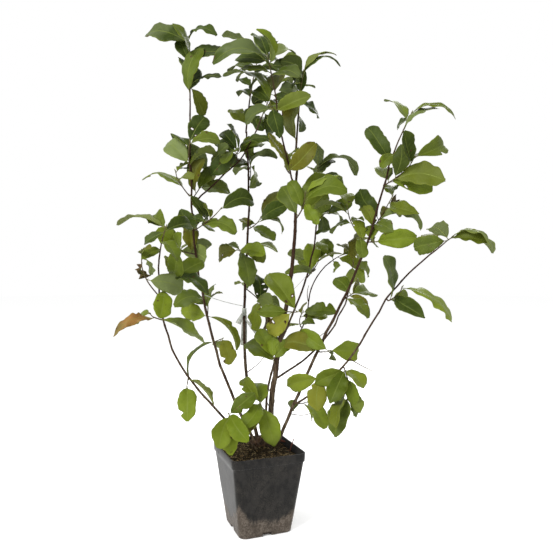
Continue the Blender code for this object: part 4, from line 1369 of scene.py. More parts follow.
leaf_looks = {}
for letter, green in GREENS.items():
    warm = GLOW_AND_TONE_DEEP if letter == "d" else GLOW_AND_TONE_SHOW
    top = dict(
        colour=(*green.colour, 1), light=(*green.light, 1),
        vein=VEIN_UPPER, gloss=0.42, haze=UPPER_PAINTED_SHEEN, warm=warm,
    )
    under = dict(
        colour=mixed(green.colour, UNDER_PALE, green.under), light=mixed(green.light, UNDER_PALE, green.under),
        vein=VEIN_UNDER, gloss=0.60, haze=UNDER_PAINTED_SHEEN, warm=warm,
    )
    title = "leaf_" + green.name
    leaf_looks[letter] = (finish(title, leaf_nodes, **top), finish(title + "_under", leaf_nodes, **under))
print("leaf finishes", 2 * len(leaf_looks))

# %% [markdown]
# ## Leaf blades
# One flat grid with a thickness serves as the pattern of every blade. Its points are numbered
# across and along, and a formula bends them into each leaf: the outline is egg-shaped with a
# short point, the halves are folded up from the midrib, the edges run in waves, and the whole
# blade curls and twists. Holes are made by leaving out the faces round a point and drawing the
# ring that is left into a rounder, smaller one.

# %% The pattern of a blade
BLADE_ACROSS = 10
BLADE_ALONG = 35


def blade_pattern():
    """Across, along and layer of each point, and the faces with their finish: 0 upper, 1 under."""
    bm = bmesh.new()
    bmesh.ops.create_grid(bm, x_segments=BLADE_ACROSS, y_segments=BLADE_ALONG, size=1)
    first = set(bm.verts)
    bmesh.ops.solidify(bm, geom=list(bm.faces), thickness=0.1)
    for vert in bm.verts:
        vert.co.z = 1.0 if vert in first else -1.0
    bmesh.ops.recalc_face_normals(bm, faces=bm.faces)
    bm.verts.index_update()
    points = np.array([vert.co for vert in bm.verts])
    faces = [tuple(vert.index for vert in face.verts) for face in bm.faces]
    slots = [1 if all(vert.co.z < 0 for vert in face.verts) else 0 for face in bm.faces]
    bm.free()
    columns = np.rint((points[:, 0] + 1) / 2 * BLADE_ACROSS).astype(int)
    rows = np.rint((points[:, 1] + 1) / 2 * BLADE_ALONG).astype(int)
    return points, columns, rows, faces, slots


pattern_points, pattern_columns, pattern_rows, pattern_faces, pattern_slots = blade_pattern()
pattern_index = {
    (column, row, height > 0): index
    for index, (column, row, height) in enumerate(zip(pattern_columns, pattern_rows, pattern_points[:, 2]))
}
print("faces of a blade", len(pattern_faces))

# %% Outline, damage and bending
OUTLINE_BASE = 0.012
TIP_START = 0.84
TIP_DRAWN = 0.45
TIP_FULLER = 0.30
CRIMP_WAVES = 6.3
QUILT = 0.00040
HOLE_RING = ((1, 0), (1, 1), (0, 1), (-1, 1), (-1, 0), (-1, -1), (0, -1), (1, -1))


def outline(leaf, blade_share, blunt):
    """Half the width of the fine blade. It ends in a drawn-out point, or full and round where blunt."""
    share = np.clip(blade_share, OUTLINE_BASE, 0.985)
    drawn = 1 - TIP_DRAWN * (1 - blunt) * np.clip((share - TIP_START) / (1 - TIP_START), 0, 1)
    fuller = np.clip((1 - share) / (1 - BLADE_WIDEST), 0, 1) ** (-TIP_FULLER * blunt)
    return half_width(leaf, share) * drawn * fuller


def pierce(across, along, luck):
    """Holes: the faces left out, and the rings drawn in. Returns faces, finishes and brown edges."""
    faces, slots = list(pattern_faces), list(pattern_slots)
    brown = np.zeros(len(across))
    taken = set()
    for _ in range(luck.randint(1, 3)):
        column = luck.choice([2, 3, 7, 8])
        row = luck.randint(5, BLADE_ALONG - 5)
        near = {(column + c, row + r) for c in range(-2, 3) for r in range(-2, 3)}
        if near & taken:
            continue
        taken |= near
        middles = {pattern_index[column, row, True], pattern_index[column, row, False]}
        kept = [(face, slot) for face, slot in zip(faces, slots) if not middles & set(face)]
        faces, slots = [list(part) for part in zip(*kept)]
        size = luck.uniform(0.45, 0.95)
        for c, r in HOLE_RING:
            pull = size * luck.uniform(0.8, 1.15) / (1 if 0 in (c, r) else 1.3)
            for upper in (True, False):
                index = pattern_index[column + c, row + r, upper]
                across[index] = 2 * (column + c * pull) / BLADE_ACROSS - 1
                along[index] = (row + r * pull) / BLADE_ALONG
                brown[index] = 0.8
        for (c, r), (next_c, next_r) in zip(HOLE_RING, HOLE_RING[1:] + HOLE_RING[:1]):
            top = [pattern_index[column + a, row + b, True] for a, b in ((c, r), (next_c, next_r))]
            low = [pattern_index[column + a, row + b, False] for a, b in ((next_c, next_r), (c, r))]
            faces.append((*top, *low))
            slots.append(0)
    return faces, slots, brown


def bend_blade(leaf, shape, across, along, layer, bites):
    """The places of a blade's points in space."""
    share = PETIOLE_SHARE + (1 - PETIOLE_SHARE) * along
    place, up, side = rib_frame(leaf, shape, share)
    wide = shape.slim * outline(leaf, along, shape.blunt)
    half = across > 0
    for number, (size, waves, start) in enumerate(shape.ragged):
        wide = wide * (1 + size * np.sin(tau * waves * along + start) * (half == (number % 2 == 0)))
    for which, middle, reach, depth in bites:
        eaten = depth * np.exp(-(((along - middle) / reach) ** 2)) * (np.sign(across) == which)
        wide = wide * (1 - eaten * np.abs(across))
    phase = np.where(across > 0, shape.phases[0], shape.phases[1])
    swing = np.sin(tau * shape.waves * along + phase) * np.sin(pi * np.clip(along, 0, 1)) ** 0.5
    lift = shape.wave * leaf.length * swing * np.abs(across) ** 1.7
    crimp = np.sin(tau * CRIMP_WAVES * along + 3 * phase) * np.sin(pi * np.clip(along, 0, 1)) ** 0.5
    lift = lift + shape.crimp * leaf.length * crimp * np.abs(across) ** 4
    lift = lift - shape.droop * leaf.length * np.abs(across) ** 3 * np.sin(pi * along)
    fold = shape.fold * (1 - 0.45 * along)
    lift = lift + np.abs(across) * wide * np.sin(fold)
    vein_phase = (along - VEIN_SLANT * np.abs(across) ** VEIN_BEND) * VEIN_PAIRS
    bulge = np.sin(pi * np.abs(vein_phase % 1 - 0.5)) * np.clip(2.5 * np.abs(across) * (1 - np.abs(across)), 0, 1)
    lift = lift + QUILT * leaf.length / LEAF_LENGTH * bulge
    lift = lift + layer * BLADE_THICK / 2 * (1 - 0.4 * np.abs(across))
    return place + side * (across * wide * np.cos(fold))[:, None] + up * lift[:, None]


# %% Which green a leaf wears
CROWN_TOP = 1.30
CROWN_FOOT = 0.30
SPOTTED_SHARE = 0.16
SPOT_WIDE = 0.24
SPOT_LONG = 0.055


def green_of(leaf, note, luck):
    """Its own letter, or one dealt out by height: deep greens high in the crown, fresh ones low."""
    if note.look:
        return note.look[0]
    high = (leaf.root.z - CROWN_FOOT) / (CROWN_TOP - CROWN_FOOT) + luck.gauss(0, 0.14)
    if high > 0.63:
        return "d" if luck.random() < 0.82 else "g"
    if high > 0.34:
        return luck.choice("ggggdfgo")
    return luck.choice("gffgffgo")


def add_blade(heap, leaf, shape, note, luck):
    across = pattern_points[:, 0].copy()
    along = (pattern_points[:, 1] + 1) / 2
    layer = pattern_points[:, 2]
    faces, slots, brown = pattern_faces, pattern_slots, np.zeros(len(across))
    if "x" in note.marks:
        faces, slots, brown = pierce(across, along, luck)
    bites = []
    if "n" in note.marks or luck.random() < 0.12:
        for _ in range(luck.randint(1, 2)):
            bites.append((luck.choice((-1, 1)), luck.uniform(0.3, 0.9), luck.uniform(0.03, 0.07), luck.uniform(0.25, 0.6)))
    for which, middle, reach, depth in bites:
        near = np.exp(-(((along - middle) / (1.5 * reach)) ** 2)) * (np.sign(across) == which)
        brown = np.maximum(brown, 0.7 * near * (np.abs(across) > 0.9))
    spots = luck.randint(2, 4) if note.look and note.look[0] in "oyr" else luck.random() < SPOTTED_SHARE
    for _ in range(int(spots)):
        spot_across, spot_along = luck.choice((-1, 1)) * luck.uniform(0.75, 1.05), luck.uniform(0.35, 1)
        size = luck.uniform(0.5, 1.1)
        near = ((across - spot_across) / (SPOT_WIDE * size)) ** 2 + ((along - spot_along) / (SPOT_LONG * size)) ** 2
        brown = np.maximum(brown, 0.85 * np.exp(-near))
    points = bend_blade(leaf, shape, across, along, layer, bites)
    used = sorted({corner for face in faces for corner in face})
    renumber = {old: new for new, old in enumerate(used)}
    faces = [tuple(renumber[corner] for corner in face) for face in faces]
    uvs = np.stack([(across + 1) / 2, along], 1)
    heap.add(points[used], faces, slots, uvs[used], shade=luck.random(), brown=brown[used])


# %% The blades
leaf_heaps = {letter: Heap("shade", "brown") for letter in GREENS}
masses_in = {letter: set() for letter in GREENS}
for name, twig in twigs.items():
    for index, (leaf, note) in enumerate(twig.leaves):
        luck = random.Random(f"blade {name} {index}")
        letter = green_of(leaf, note, luck)
        add_blade(leaf_heaps[letter], leaf, leaf_shapes[name, index], note, luck)
        masses_in[letter].add(name)
for letter, heap in leaf_heaps.items():
    if heap.count:
        piece_name = "leaves_" + GREENS[letter].name
        show(heap.mesh(piece_name), piece_name, leaf_looks[letter], "leaf", *sorted(masses_in[letter]))
        print(piece_name, len(heap.faces), "faces")

# %% [markdown]
# ## The pot
# The pot is thin black moulded plastic: square, narrower at its foot, with rounded corners and a
# stepped band under the rim. It is drawn as one profile that is carried round a rounded square,
# with more steps at its corners and edges than the plain solid has. Drain notches are cut from
# the foot of each wall. Years of use left it dusty, with dried mud on its lower quarter.

# %% Pot sizes
POT_HEIGHT = 0.200
RIM_HALF = 0.095
BAND_HEIGHT = 0.021
BAND_STEP = 0.0038
BASE_HALF = 0.0685
FOOT_CHAMFER = 0.0028
WALL = 0.0017
FLOOR = 0.003
RIM_CORNER = 0.012
BASE_CORNER = 0.018
DRAIN_WIDTH = 0.024
DRAIN_HEIGHT = 0.0095
DRAIN_DEPTH = 0.011
DRAIN_COVER = 0.0032
SLIT_PLACE = (-0.0945, 0.040, 0.184)
SLIT_SIZE = (0.004, 0.0024, 0.016)
CORNER_STEPS = 10
WALL_STEPS = 12


def rounded_square(half, corner, height):
    """A ring round a square with round corners, counter-clockwise from above, walls included."""
    ring = []
    for quarter in range(4):
        turn = Matrix.Rotation(quarter * pi / 2, 3, "Z")
        middle = Vector((half - corner, half - corner, 0))
        for step in range(CORNER_STEPS + 1):
            angle = step / CORNER_STEPS * pi / 2
            ring.append(turn @ (middle + Vector((corner * cos(angle), corner * sin(angle), 0))))
        start, end = Vector((half - corner, half, 0)), Vector((corner - half, half, 0))
        for step in range(1, WALL_STEPS):
            ring.append(turn @ start.lerp(end, step / WALL_STEPS))
    return [place + Vector((0, 0, height)) for place in ring]


def wall_half(height):
    """The half width of the outer wall at a height below the band."""
    rise = (height - FOOT_CHAMFER) / (POT_HEIGHT - BAND_HEIGHT - FOOT_CHAMFER)
    return BASE_HALF + (RIM_HALF - BAND_STEP - BASE_HALF) * rise


def corner_at(height):
    rise = (height - FOOT_CHAMFER) / (POT_HEIGHT - BAND_HEIGHT - FOOT_CHAMFER)
    return BASE_CORNER + (RIM_CORNER - BASE_CORNER) * rise


# %% Pot finish
POT_BLACK = (0.006, 0.006, 0.006, 1)
POT_WORN = (0.015, 0.014, 0.013, 1)
POT_DUST = (0.050, 0.044, 0.036, 1)
MUD_DARK = (0.060, 0.047, 0.036, 1)
MUD_PALE = (0.150, 0.124, 0.100, 1)
MUD_LINE = 0.026
MUD_AT_CORNERS = 0.042
MUD_LEAN = -0.13


def pot_nodes(tree):
    broad = place_group(tree, blotches, Scale=16.0, Stretch=0.8)
    fine = place_group(tree, blotches, Scale=75.0, Stretch=0.6)
    place = add_node(tree, "ShaderNodeTexCoord").outputs["Object"]
    turned = add_node(tree, "ShaderNodeMapping", vector_type="POINT")
    turned.inputs["Rotation"].default_value = (0, 0, -POT_TURN)
    tree.links.new(place, turned.inputs["Vector"])
    apart = add_node(tree, "ShaderNodeSeparateXYZ")
    tree.links.new(turned.outputs[0], apart.inputs[0])
    x, y = (maths(tree, "ABSOLUTE", apart.outputs[axis]) for axis in "XY")
    corner = maths(tree, "DIVIDE", maths(tree, "MINIMUM", x, y), maths(tree, "MAXIMUM", x, y))
    corner = maths(tree, "POWER", corner, 2.2)
    colour = blend(tree, fine["Patch"], POT_BLACK, POT_WORN)
    dusty = maths(tree, "MULTIPLY", maths(tree, "MULTIPLY_ADD", broad["Patch"], 0.35, 0.15), fine["Speck"])
    colour = blend(tree, dusty, colour, POT_DUST)
    line = maths(tree, "MULTIPLY_ADD", corner, MUD_AT_CORNERS, MUD_LINE)
    line = maths(tree, "MULTIPLY_ADD", apart.outputs["X"], MUD_LEAN, line)
    line = maths(tree, "MULTIPLY_ADD", broad["Patch"], 0.012, line)
    above = maths(tree, "SUBTRACT", maths(tree, "MULTIPLY_ADD", fine["Patch"], -0.007, apart.outputs["Z"]), line)
    mud = maths(tree, "SUBTRACT", 1.0, range_of(tree, above, -0.016, 0.004))
    ridges = feed(tree, add_node(tree, "ShaderNodeTexNoise"), Vector=place, Scale=120.0, Detail=4.0)
    cracks = maths(tree, "ABSOLUTE", maths(tree, "SUBTRACT", ridges.outputs["Fac"], 0.5))
    crust = range_of(tree, cracks, 0.0, 0.07)
    caked = maths(tree, "MULTIPLY", crust, maths(tree, "MULTIPLY_ADD", fine["Patch"], 0.6, 0.25))
    mud_colour = blend(tree, caked, MUD_DARK, MUD_PALE)
    broken = maths(tree, "MULTIPLY", mud, maths(tree, "MULTIPLY_ADD", fine["Speck"], 0.3, 0.62))
    colour = blend(tree, broken, colour, mud_colour)
    roughness = maths(tree, "MULTIPLY_ADD", mud, 0.35, maths(tree, "MULTIPLY_ADD", dusty, 0.5, 0.45))
    height = maths(tree, "MULTIPLY_ADD", mud, caked, maths(tree, "MULTIPLY", fine["Patch"], 0.25))
    relief = bump(tree, height, 0.4, 0.0008)
    return {
        "Base_Color": colour, "Roughness": roughness, "Normal": relief,
        "Specular_IOR_Level": 0.09, "Sheen_Weight": 0.22, "Sheen_Roughness": 0.35,
    }


pot_plastic = finish("pot_plastic", pot_nodes)


# %% Build the pot
def box_body(matrix, middle, size):
    bm = bmesh.new()
    bmesh.ops.create_cube(bm, size=1, matrix=matrix @ Matrix.Translation(middle) @ Matrix.Diagonal((*size, 1)))
    return bm


def cut_or_join(base, pieces, operation):
    """A Boolean on a collection of bodies, applied to the base object."""
    group = bpy.data.collections.new("tools_of_" + base.name)
    bpy.context.scene.collection.children.link(group)
    for index, bm in enumerate(pieces):
        tool = bpy.data.objects.new(f"tool_{index}", mesh_of(bm, f"tool_{index}"))
        group.objects.link(tool)
    boolean = base.modifiers.new("boolean", "BOOLEAN")
    boolean.operation = operation
    boolean.operand_type = "COLLECTION"
    boolean.collection = group
    done = bpy.data.meshes.new_from_object(base.evaluated_get(bpy.context.evaluated_depsgraph_get()))
    base.modifiers.remove(boolean)
    base.data = done
    for tool in list(group.objects):
        bpy.data.objects.remove(tool)
    bpy.data.collections.remove(group)


def build_pot():
    shoulder = POT_HEIGHT - BAND_HEIGHT
    lip = 0.0008
    soft = 0.0005
    profile = [(BASE_HALF - FOOT_CHAMFER, BASE_CORNER, 0)]
    for step in range(1, 5):
        angle = step / 4 * pi / 2
        half = BASE_HALF - FOOT_CHAMFER * (1 - sin(angle))
        profile.append((half, BASE_CORNER, FOOT_CHAMFER * (1 - cos(angle))))
    for step in range(1, 17):
        height = FOOT_CHAMFER + (shoulder - soft - FOOT_CHAMFER) * step / 16
        profile.append((wall_half(height), corner_at(height), height))
    out = RIM_CORNER + BAND_STEP
    profile += [
        (wall_half(shoulder) + soft, RIM_CORNER + soft, shoulder),
        (RIM_HALF - lip - soft, out - soft, shoulder),
        (RIM_HALF - lip, out, shoulder + soft),
        (RIM_HALF - lip / 2, out, (shoulder + POT_HEIGHT) / 2),
        (RIM_HALF, out, POT_HEIGHT - lip),
        (RIM_HALF - lip / 3, out, POT_HEIGHT - lip / 3),
        (RIM_HALF - lip, out, POT_HEIGHT),
        (RIM_HALF - WALL, out - WALL + lip, POT_HEIGHT),
        (RIM_HALF - lip - WALL, out - WALL, POT_HEIGHT - soft),
        (wall_half(shoulder) - WALL, RIM_CORNER - WALL, shoulder - WALL),
    ]
    for step in range(1, 9):
        height = shoulder - WALL - (shoulder - WALL - FLOOR) * step / 8
        profile.append((wall_half(max(height, FOOT_CHAMFER)) - WALL, corner_at(height) - WALL, height))
    body = sweep([rounded_square(*station) for station in profile])
    pot = bpy.data.objects.new("pot_shell", mesh_of(body, "pot_shell"))
    bpy.context.collection.objects.link(pot)
    covers, drains = [], []
    for quarter in range(4):
        turn = Matrix.Rotation(quarter * pi / 2, 4, "Z")
        cover = (DRAIN_WIDTH + 2 * DRAIN_COVER, DRAIN_DEPTH + DRAIN_COVER, DRAIN_HEIGHT + DRAIN_COVER - FLOOR / 2)
        middle = (0, cover[1] / 2 + FOOT_CHAMFER / 2 - BASE_HALF, (FLOOR + cover[2]) / 2)
        covers.append(box_body(turn, middle, cover))
        drains.append(box_body(turn, (0, -BASE_HALF, 0), (DRAIN_WIDTH, 2 * DRAIN_DEPTH, 2 * DRAIN_HEIGHT)))
    drains.append(box_body(Matrix.Identity(4), SLIT_PLACE, SLIT_SIZE))
    cut_or_join(pot, covers, "UNION")
    cut_or_join(pot, drains, "DIFFERENCE")
    return pot


DENT = 0.0009
pot = build_pot()
for vert in pot.data.vertices:
    x, y, z = vert.co
    inner = 1 - abs(2 * z / POT_HEIGHT - 0.8)
    dent = DENT * max(0.0, inner) * noise.noise(Vector((x * 14, y * 14, z * 14 + 5)))
    if max(abs(x), abs(y)) > wall_half(FOOT_CHAMFER) * 0.93 and z > 0.02:
        vert.co.x -= dent * (1 if x > 0 else -1) * (abs(x) > abs(y))
        vert.co.y -= dent * (1 if y > 0 else -1) * (abs(y) >= abs(x))
pot.data.transform(Matrix.Rotation(POT_TURN, 4, "Z"))
pot.data.materials.clear()
pot.data.materials.append(pot_plastic)
pot.data.shade_smooth()
pot.data.set_sharp_from_angle(angle=radians(50))
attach(pot, "root")
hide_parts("pot")
print("pot faces", len(pot.data.polygons))

# %% [markdown]
# ## The soil
# The soil is a dark crumbly mix with bark chips and bits of straw. Its body is one closed block
# with a lumpy top. On top lie crumbs, chips and straws: flat or long little shapes, each kind
# joined into one piece, dealt out by a seeded rule.

# %% Soil body
SOIL_EDGE = 0.183
SOIL_LEVEL_HALF = 0.066
SOIL_GRID = 70
SOIL_LUMP = 0.0024
MOUND_MIDDLE = (0.026, 0.033)
MOUND_HEIGHT = 0.009
MOUND_WIDE = 0.040
SOIL_HALF = 0.0890
SOIL_CORNER = RIM_CORNER - WALL
SOIL_BOTTOM = DRAIN_HEIGHT + DRAIN_COVER + CLEARANCE


def soil_height(x, y):
    """The lumpy top, in the pot's own turned frame."""
    edge = max(abs(x), abs(y)) / SOIL_HALF
    slope = SOIL_TOP - (SOIL_TOP - SOIL_EDGE) * max(0.0, (edge - 0.7) / 0.3) ** 1.3
    away = ((x - MOUND_MIDDLE[0]) ** 2 + (y - MOUND_MIDDLE[1]) ** 2) / MOUND_WIDE**2
    slope += MOUND_HEIGHT * exp(-away)
    broad = noise.noise(Vector((x * 38, y * 38, 3.1)))
    fine = noise.noise(Vector((x * 150, y * 150, 7.7)))
    crumb = noise.noise(Vector((x * 420, y * 420, 1.9)))
    return slope + SOIL_LUMP * (0.8 * broad + 0.5 * fine + 0.28 * crumb) - 0.0012


def reach_of(x, y, half, corner):
    """How many times the way (x, y) fits between the middle and the edge of a rounded square."""
    x, y = sorted((abs(x), abs(y)))
    inner = half - corner
    if x * half <= inner * y:
        return half / y
    squares, both, rest = x * x + y * y, inner * (x + y), 2 * inner**2 - corner**2
    return (both + (both**2 - squares * rest) ** 0.5) / squares


def build_soil():
    bm = bmesh.new()
    bmesh.ops.create_grid(bm, x_segments=SOIL_GRID, y_segments=SOIL_GRID, size=1)
    for vert in bm.verts:
        x, y = vert.co.x, vert.co.y
        around = max(abs(x), abs(y))
        reach = reach_of(x / around, y / around, SOIL_HALF, SOIL_CORNER) if around else 1.0
        vert.co = (x * reach, y * reach, soil_height(x * reach, y * reach))
    rim = [edge for edge in bm.edges if edge.is_boundary]
    made = bmesh.ops.extrude_edge_only(bm, edges=rim)["geom"]
    half, corner = wall_half(SOIL_BOTTOM) - WALL - 2 * CLEARANCE, corner_at(SOIL_BOTTOM) - WALL
    for vert in (part for part in made if isinstance(part, bmesh.types.BMVert)):
        reach = reach_of(vert.co.x, vert.co.y, half, corner)
        vert.co = (vert.co.x * reach, vert.co.y * reach, SOIL_BOTTOM)
    bmesh.ops.holes_fill(bm, edges=[edge for edge in bm.edges if edge.is_boundary])
    bmesh.ops.recalc_face_normals(bm, faces=bm.faces)
    bm.transform(Matrix.Rotation(POT_TURN, 4, "Z"))
    return bm


SOIL_BLACK = (0.010, 0.007, 0.004, 1)
SOIL_BROWN = (0.070, 0.050, 0.025, 1)
SOIL_SPECULAR = 0.05


def soil_nodes(tree, dark, light, detail):
    grain = place_group(tree, blotches, Scale=detail, Stretch=1.0)
    colour = blend(tree, maths(tree, "MULTIPLY", grain["Patch"], grain["Speck"]), dark, light)
    relief = bump(tree, grain["Speck"], 0.6, 0.0009)
    return {"Base_Color": colour, "Roughness": 0.93, "Normal": relief, "Specular_IOR_Level": SOIL_SPECULAR}


soil_look = finish("soil", soil_nodes, dark=SOIL_BLACK, light=SOIL_BROWN, detail=160.0)
soil_mesh = mesh_of(build_soil(), "soil_body")
show(soil_mesh, "soil_body", [soil_look], "soil", "soil")
print("soil faces", len(soil_mesh.polygons))

# %% Crumbs, chips and straws
CRUMB_COUNT = 1300
CHIP_COUNT = 230
STRAW_COUNT = 420
CHIP_BROWN = (0.050, 0.030, 0.014, 1)
CHIP_PALE = (0.240, 0.165, 0.080, 1)
STRAW_DARK = (0.105, 0.075, 0.032, 1)
STRAW_PALE = (0.400, 0.310, 0.165, 1)


def litter_block(luck, size, sharp):
    """One bit of litter: a small icosphere or cube, squashed and pushed out of shape."""
    bm = bmesh.new()
    if sharp:
        bmesh.ops.create_cube(bm, size=1)
    else:
        bmesh.ops.create_icosphere(bm, subdivisions=1, radius=0.6)
    for vert in bm.verts:
        vert.co = Vector([part * luck.uniform(0.45, 1.35) for part in vert.co])
        vert.co = Vector([part * wide for part, wide in zip(vert.co, size)])
    bmesh.ops.recalc_face_normals(bm, faces=bm.faces)
    bm.verts.index_update()
    points = [vert.co.copy() for vert in bm.verts]
    faces = [tuple(vert.index for vert in face.verts) for face in bm.faces]
    bm.free()
    return points, faces


def scatter(name, count, look, sizes, sharp, tilt, sink):
    """Litter dealt out over the soil's top, clear of the pot's walls."""
    luck = random.Random(name)
    turned = Matrix.Rotation(POT_TURN, 4, "Z")
    heap = Heap("age")
    for _ in range(count):
        room = SOIL_HALF - 0.006
        x, y = luck.uniform(-room, room), luck.uniform(-room, room)
        size = Vector([luck.uniform(low, high) for low, high in sizes])
        room_left = room - size.x / 2
        x, y = max(-room_left, min(room_left, x)), max(-room_left, min(room_left, y))
        place = Vector((x, y, soil_height(x, y) + size.z * (0.5 - sink)))
        spin = Matrix.Rotation(luck.uniform(0, tau), 4, "Z") @ Matrix.Rotation(luck.gauss(0, tilt), 4, "Y")
        spin = spin @ Matrix.Rotation(luck.gauss(0, tilt), 4, "X")
        points, faces = litter_block(luck, size, sharp)
        matrix = turned @ Matrix.Translation(place) @ spin
        heap.add([matrix @ point for point in points], faces, age=luck.random())
    piece = show(heap.mesh(name), name, [look], "soil", "soil")
    for polygon in piece.data.polygons:
        polygon.use_smooth = not sharp
    print(name, count)


def litter_nodes(tree, dark, light):
    age = feed(tree, add_node(tree, "ShaderNodeAttribute", attribute_name="age")).outputs["Fac"]
    grain = place_group(tree, blotches, Scale=260.0, Stretch=1.0)
    share = maths(tree, "MULTIPLY_ADD", grain["Patch"], 0.3, maths(tree, "MULTIPLY", age, 0.7))
    colour = blend(tree, share, dark, light)
    relief = bump(tree, grain["Speck"], 0.4, 0.0004)
    return {"Base_Color": colour, "Roughness": 0.85, "Normal": relief, "Specular_IOR_Level": SOIL_SPECULAR}


crumb_look = finish("soil_crumbs", litter_nodes, dark=SOIL_BLACK, light=SOIL_BROWN)
chip_look = finish("bark_chips", litter_nodes, dark=CHIP_BROWN, light=CHIP_PALE)
straw_look = finish("straw", litter_nodes, dark=STRAW_DARK, light=STRAW_PALE)
crumb_sizes = ((0.0012, 0.0055), (0.0012, 0.0040), (0.0010, 0.0030))
chip_sizes = ((0.002, 0.008), (0.0012, 0.0032), (0.0006, 0.0015))
straw_sizes = ((0.004, 0.014), (0.0004, 0.0009), (0.0004, 0.0007))
scatter("soil_crumbs", CRUMB_COUNT, crumb_look, crumb_sizes, False, 0.6, 0.15)
scatter("bark_chips", CHIP_COUNT, chip_look, chip_sizes, True, 0.35, 0.0)
scatter("straws", STRAW_COUNT, straw_look, straw_sizes, True, 0.12, -0.6)

# %% [markdown]
# ## The root crown
# Where the stems meet, an old woody crown bulges out of the soil. It is a ball that is squashed
# and made knobbly by noise, in the bark of old wood. Beside it lie a dry sliver and a dead stub.

# %% Root crown
CROWN_PLACE = (0.010, 0.042, 0.194)
CROWN_SIZE = (0.029, 0.022, 0.020)
CROWN_KNOB = 0.34
CROWN_RED = (0.058, 0.028, 0.014, 1)
CROWN_DARK = (0.028, 0.017, 0.011, 1)
SLIVER_DARK = (0.150, 0.055, 0.040, 1)
SLIVER_PALE = (0.310, 0.140, 0.105, 1)

crown_bm = bmesh.new()
bmesh.ops.create_icosphere(crown_bm, subdivisions=5, radius=1)
for vert in crown_bm.verts:
    knob = noise.noise(vert.co * 1.9) + 0.45 * noise.noise(vert.co * 5.1) + 0.2 * noise.noise(vert.co * 13.0)
    vert.co *= 1 + CROWN_KNOB * knob
crown_bm.transform(Matrix.Translation(CROWN_PLACE) @ Matrix.Diagonal((*CROWN_SIZE, 1)))


def crown_nodes(tree):
    broad = place_group(tree, blotches, Scale=85.0, Stretch=0.7)
    fine = place_group(tree, blotches, Scale=210.0, Stretch=0.4)
    colour = blend(tree, broad["Patch"], CROWN_DARK, CROWN_RED)
    colour = blend(tree, maths(tree, "MULTIPLY", fine["Patch"], 0.3), colour, BARK_OLD_PALE)
    relief = bump(tree, fine["Speck"], 0.6, 0.0009)
    return {"Base_Color": colour, "Roughness": 0.8, "Normal": relief, "Specular_IOR_Level": 0.1}


crown_look = finish("root_crown", crown_nodes)
crown = show(mesh_of(crown_bm, "root_crown"), "root_crown", [crown_look], "bark")
sliver_look = finish("dry_sliver", litter_nodes, dark=SLIVER_DARK, light=SLIVER_PALE)
stub_heap = Heap("age")
stub_path = [Vector((0.081, 0.014, 0.182)), Vector((0.086, 0.014, 0.200)), Vector((0.0925, 0.016, 0.2165))]
stub_heap.add(*bar(stub_path, [0.0016, 0.0014, 0.0011], 8), age=0.15)
show(stub_heap.mesh("dead_stub"), "dead_stub", [sliver_look], "bark")
print("crown faces", len(crown.data.polygons))

# %% [markdown]
# ## Small things on the stems
# A blank label of soft pale plastic is wrapped round the second stem, with two worn tails, and a
# thin pale tie runs from it to the next stem. Both are small, so they are plain bent strips and
# a thin bar.

# %% Label and tie
LABEL_GREY = (0.240, 0.250, 0.225, 1)
LABEL_PALE = (0.430, 0.440, 0.395, 1)
LABEL_THICK = 0.0004
LABEL_BAND = 0.0048
STRIP_STEPS = 12
TIE_RADIUS = 0.0009
TIE_SAG = 0.003


def label_nodes(tree):
    wear = place_group(tree, blotches, Scale=60.0, Stretch=1.0)
    colour = blend(tree, wear["Patch"], LABEL_GREY, LABEL_PALE)
    relief = bump(tree, wear["Speck"], 0.2, 0.0005)
    return {"Base_Color": colour, "Roughness": 0.42, "Normal": relief, "Specular_IOR_Level": 0.25}


def strip(path, widths, facing):
    """A thin bent strip with a thickness: one edge extruded along a path, then made solid."""
    bm = bmesh.new()
    last = len(path) - 1
    ways = [path[min(index + 1, last)] - path[max(index - 1, 0)] for index in range(last + 1)]
    across = [facing.cross(way).normalized() for way in ways]
    low, high = (bm.verts.new(path[0] + across[0] * side * widths[0] / 2) for side in (-1, 1))
    edge = bm.edges.new((low, high))
    for place, side, width in zip(path[1:], across[1:], widths[1:]):
        made = bmesh.ops.extrude_edge_only(bm, edges=[edge])["geom"]
        ends = [part for part in made if isinstance(part, bmesh.types.BMVert)]
        for vert in ends:
            sign = 1 if vert.co.dot(side) > (place.dot(side)) else -1
            vert.co = place + side * sign * width / 2
        lines = [part for part in made if isinstance(part, bmesh.types.BMEdge)]
        edge = next(line for line in lines if set(line.verts) == set(ends))
    bmesh.ops.solidify(bm, geom=list(bm.faces), thickness=LABEL_THICK)
    bmesh.ops.recalc_face_normals(bm, faces=bm.faces)
    return bm


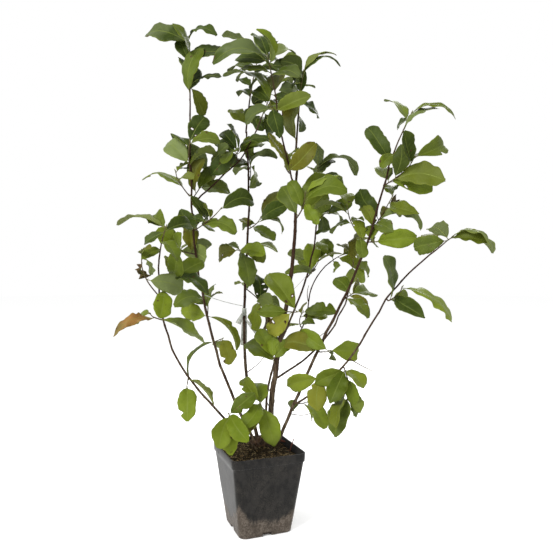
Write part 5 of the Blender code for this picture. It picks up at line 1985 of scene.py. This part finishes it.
label_look = finish("label_plastic", label_nodes)
label_stem = limbs["stem_centre_west"]
label_at = 0.435
label_middle = label_stem.point(label_at)
label_radius = label_stem.radius(label_at) + 0.0012
band_rings = []
for height, swell in ((-2.2, 1.0), (-2.0, 1.15), (-0.5, 1.35), (1.0, 1.2), (2.0, 1.3), (2.2, 1.15)):
    centre = label_middle + Vector((0, 0, height * LABEL_BAND))
    turns = [tau * step / 16 for step in range(16)]
    band_rings.append([centre + Vector((cos(t), sin(t), 0)) * label_radius * swell for t in turns])
show(mesh_of(sweep(band_rings), "label_band"), "label_band", [label_look], "pot_plastic")
front = Vector((0, -1, 0))
tails = {
    "label_tail_left": (0.004, Vector((-0.017, -0.004, -0.036)), (0.004, 0.016), 0.004),
    "label_tail_low": (-0.008, Vector((-0.001, 0.001, -0.085)), (0.014, 0.018), -0.010),
    "label_tail_right": (-0.016, Vector((0.038, 0.004, -0.044)), (0.003, 0.015), 0.006),
}
for tail_name, (drop, reach, (narrow, wide), bow) in tails.items():
    start = label_middle + Vector((0, -label_radius * 0.9, drop))
    shares = [step / STRIP_STEPS for step in range(STRIP_STEPS + 1)]
    path = [start + reach * share + front * bow * sin(pi * share) for share in shares]
    widths = [narrow + (wide - narrow) * share for share in shares]
    show(mesh_of(strip(path, widths, front), tail_name), tail_name, [label_look], "pot_plastic")


def thread(start, end, sag, radius, name, look, slot):
    """A thin thread with closed ends between two places, sagging a little."""
    shares = np.linspace(0, 1, 17)
    path = [start.lerp(end, share) - Vector((0, 0, sag)) * sin(pi * share) for share in shares]
    heap = Heap()
    heap.add(*bar(path, [radius] * len(path), 6))
    show(heap.mesh(name), name, [look], slot)


tie_end = label_middle + Vector((0, -label_radius, 0.016))
thread(limbs["stem_west"].point(0.465), tie_end, TIE_SAG, TIE_RADIUS, "tie", label_look, "pot_plastic")
silk_start, silk_end = limbs["stem_centre"].point(0.515), limbs["stem_inner"].point(0.69)
thread(silk_start, silk_end, 0.002, 0.0004, "dry_thread", straw_look, "leaf")
sliver_shares = np.linspace(0, 1, 9)
sliver_start, sliver_end = Vector((0.029, 0.074, 0.213)), Vector((0.077, 0.070, 0.190))
sliver_path = [sliver_start.lerp(sliver_end, share) - Vector((0, 0, 0.005)) * sin(pi * share) for share in sliver_shares]
sliver_widths = [0.0008 + 0.0062 * sin(pi * share) ** 0.8 for share in sliver_shares]
sliver = strip(sliver_path, sliver_widths, Vector((0.1, -1, 0.3)).normalized())
show(mesh_of(sliver, "dry_sliver"), "dry_sliver", [sliver_look], "leaf")
print("label band at height", round(label_middle.z, 3))

# %% [markdown]
# ## Finish
# Last, the view layer is brought up to date.

# %% Finish
bpy.context.view_layer.update()
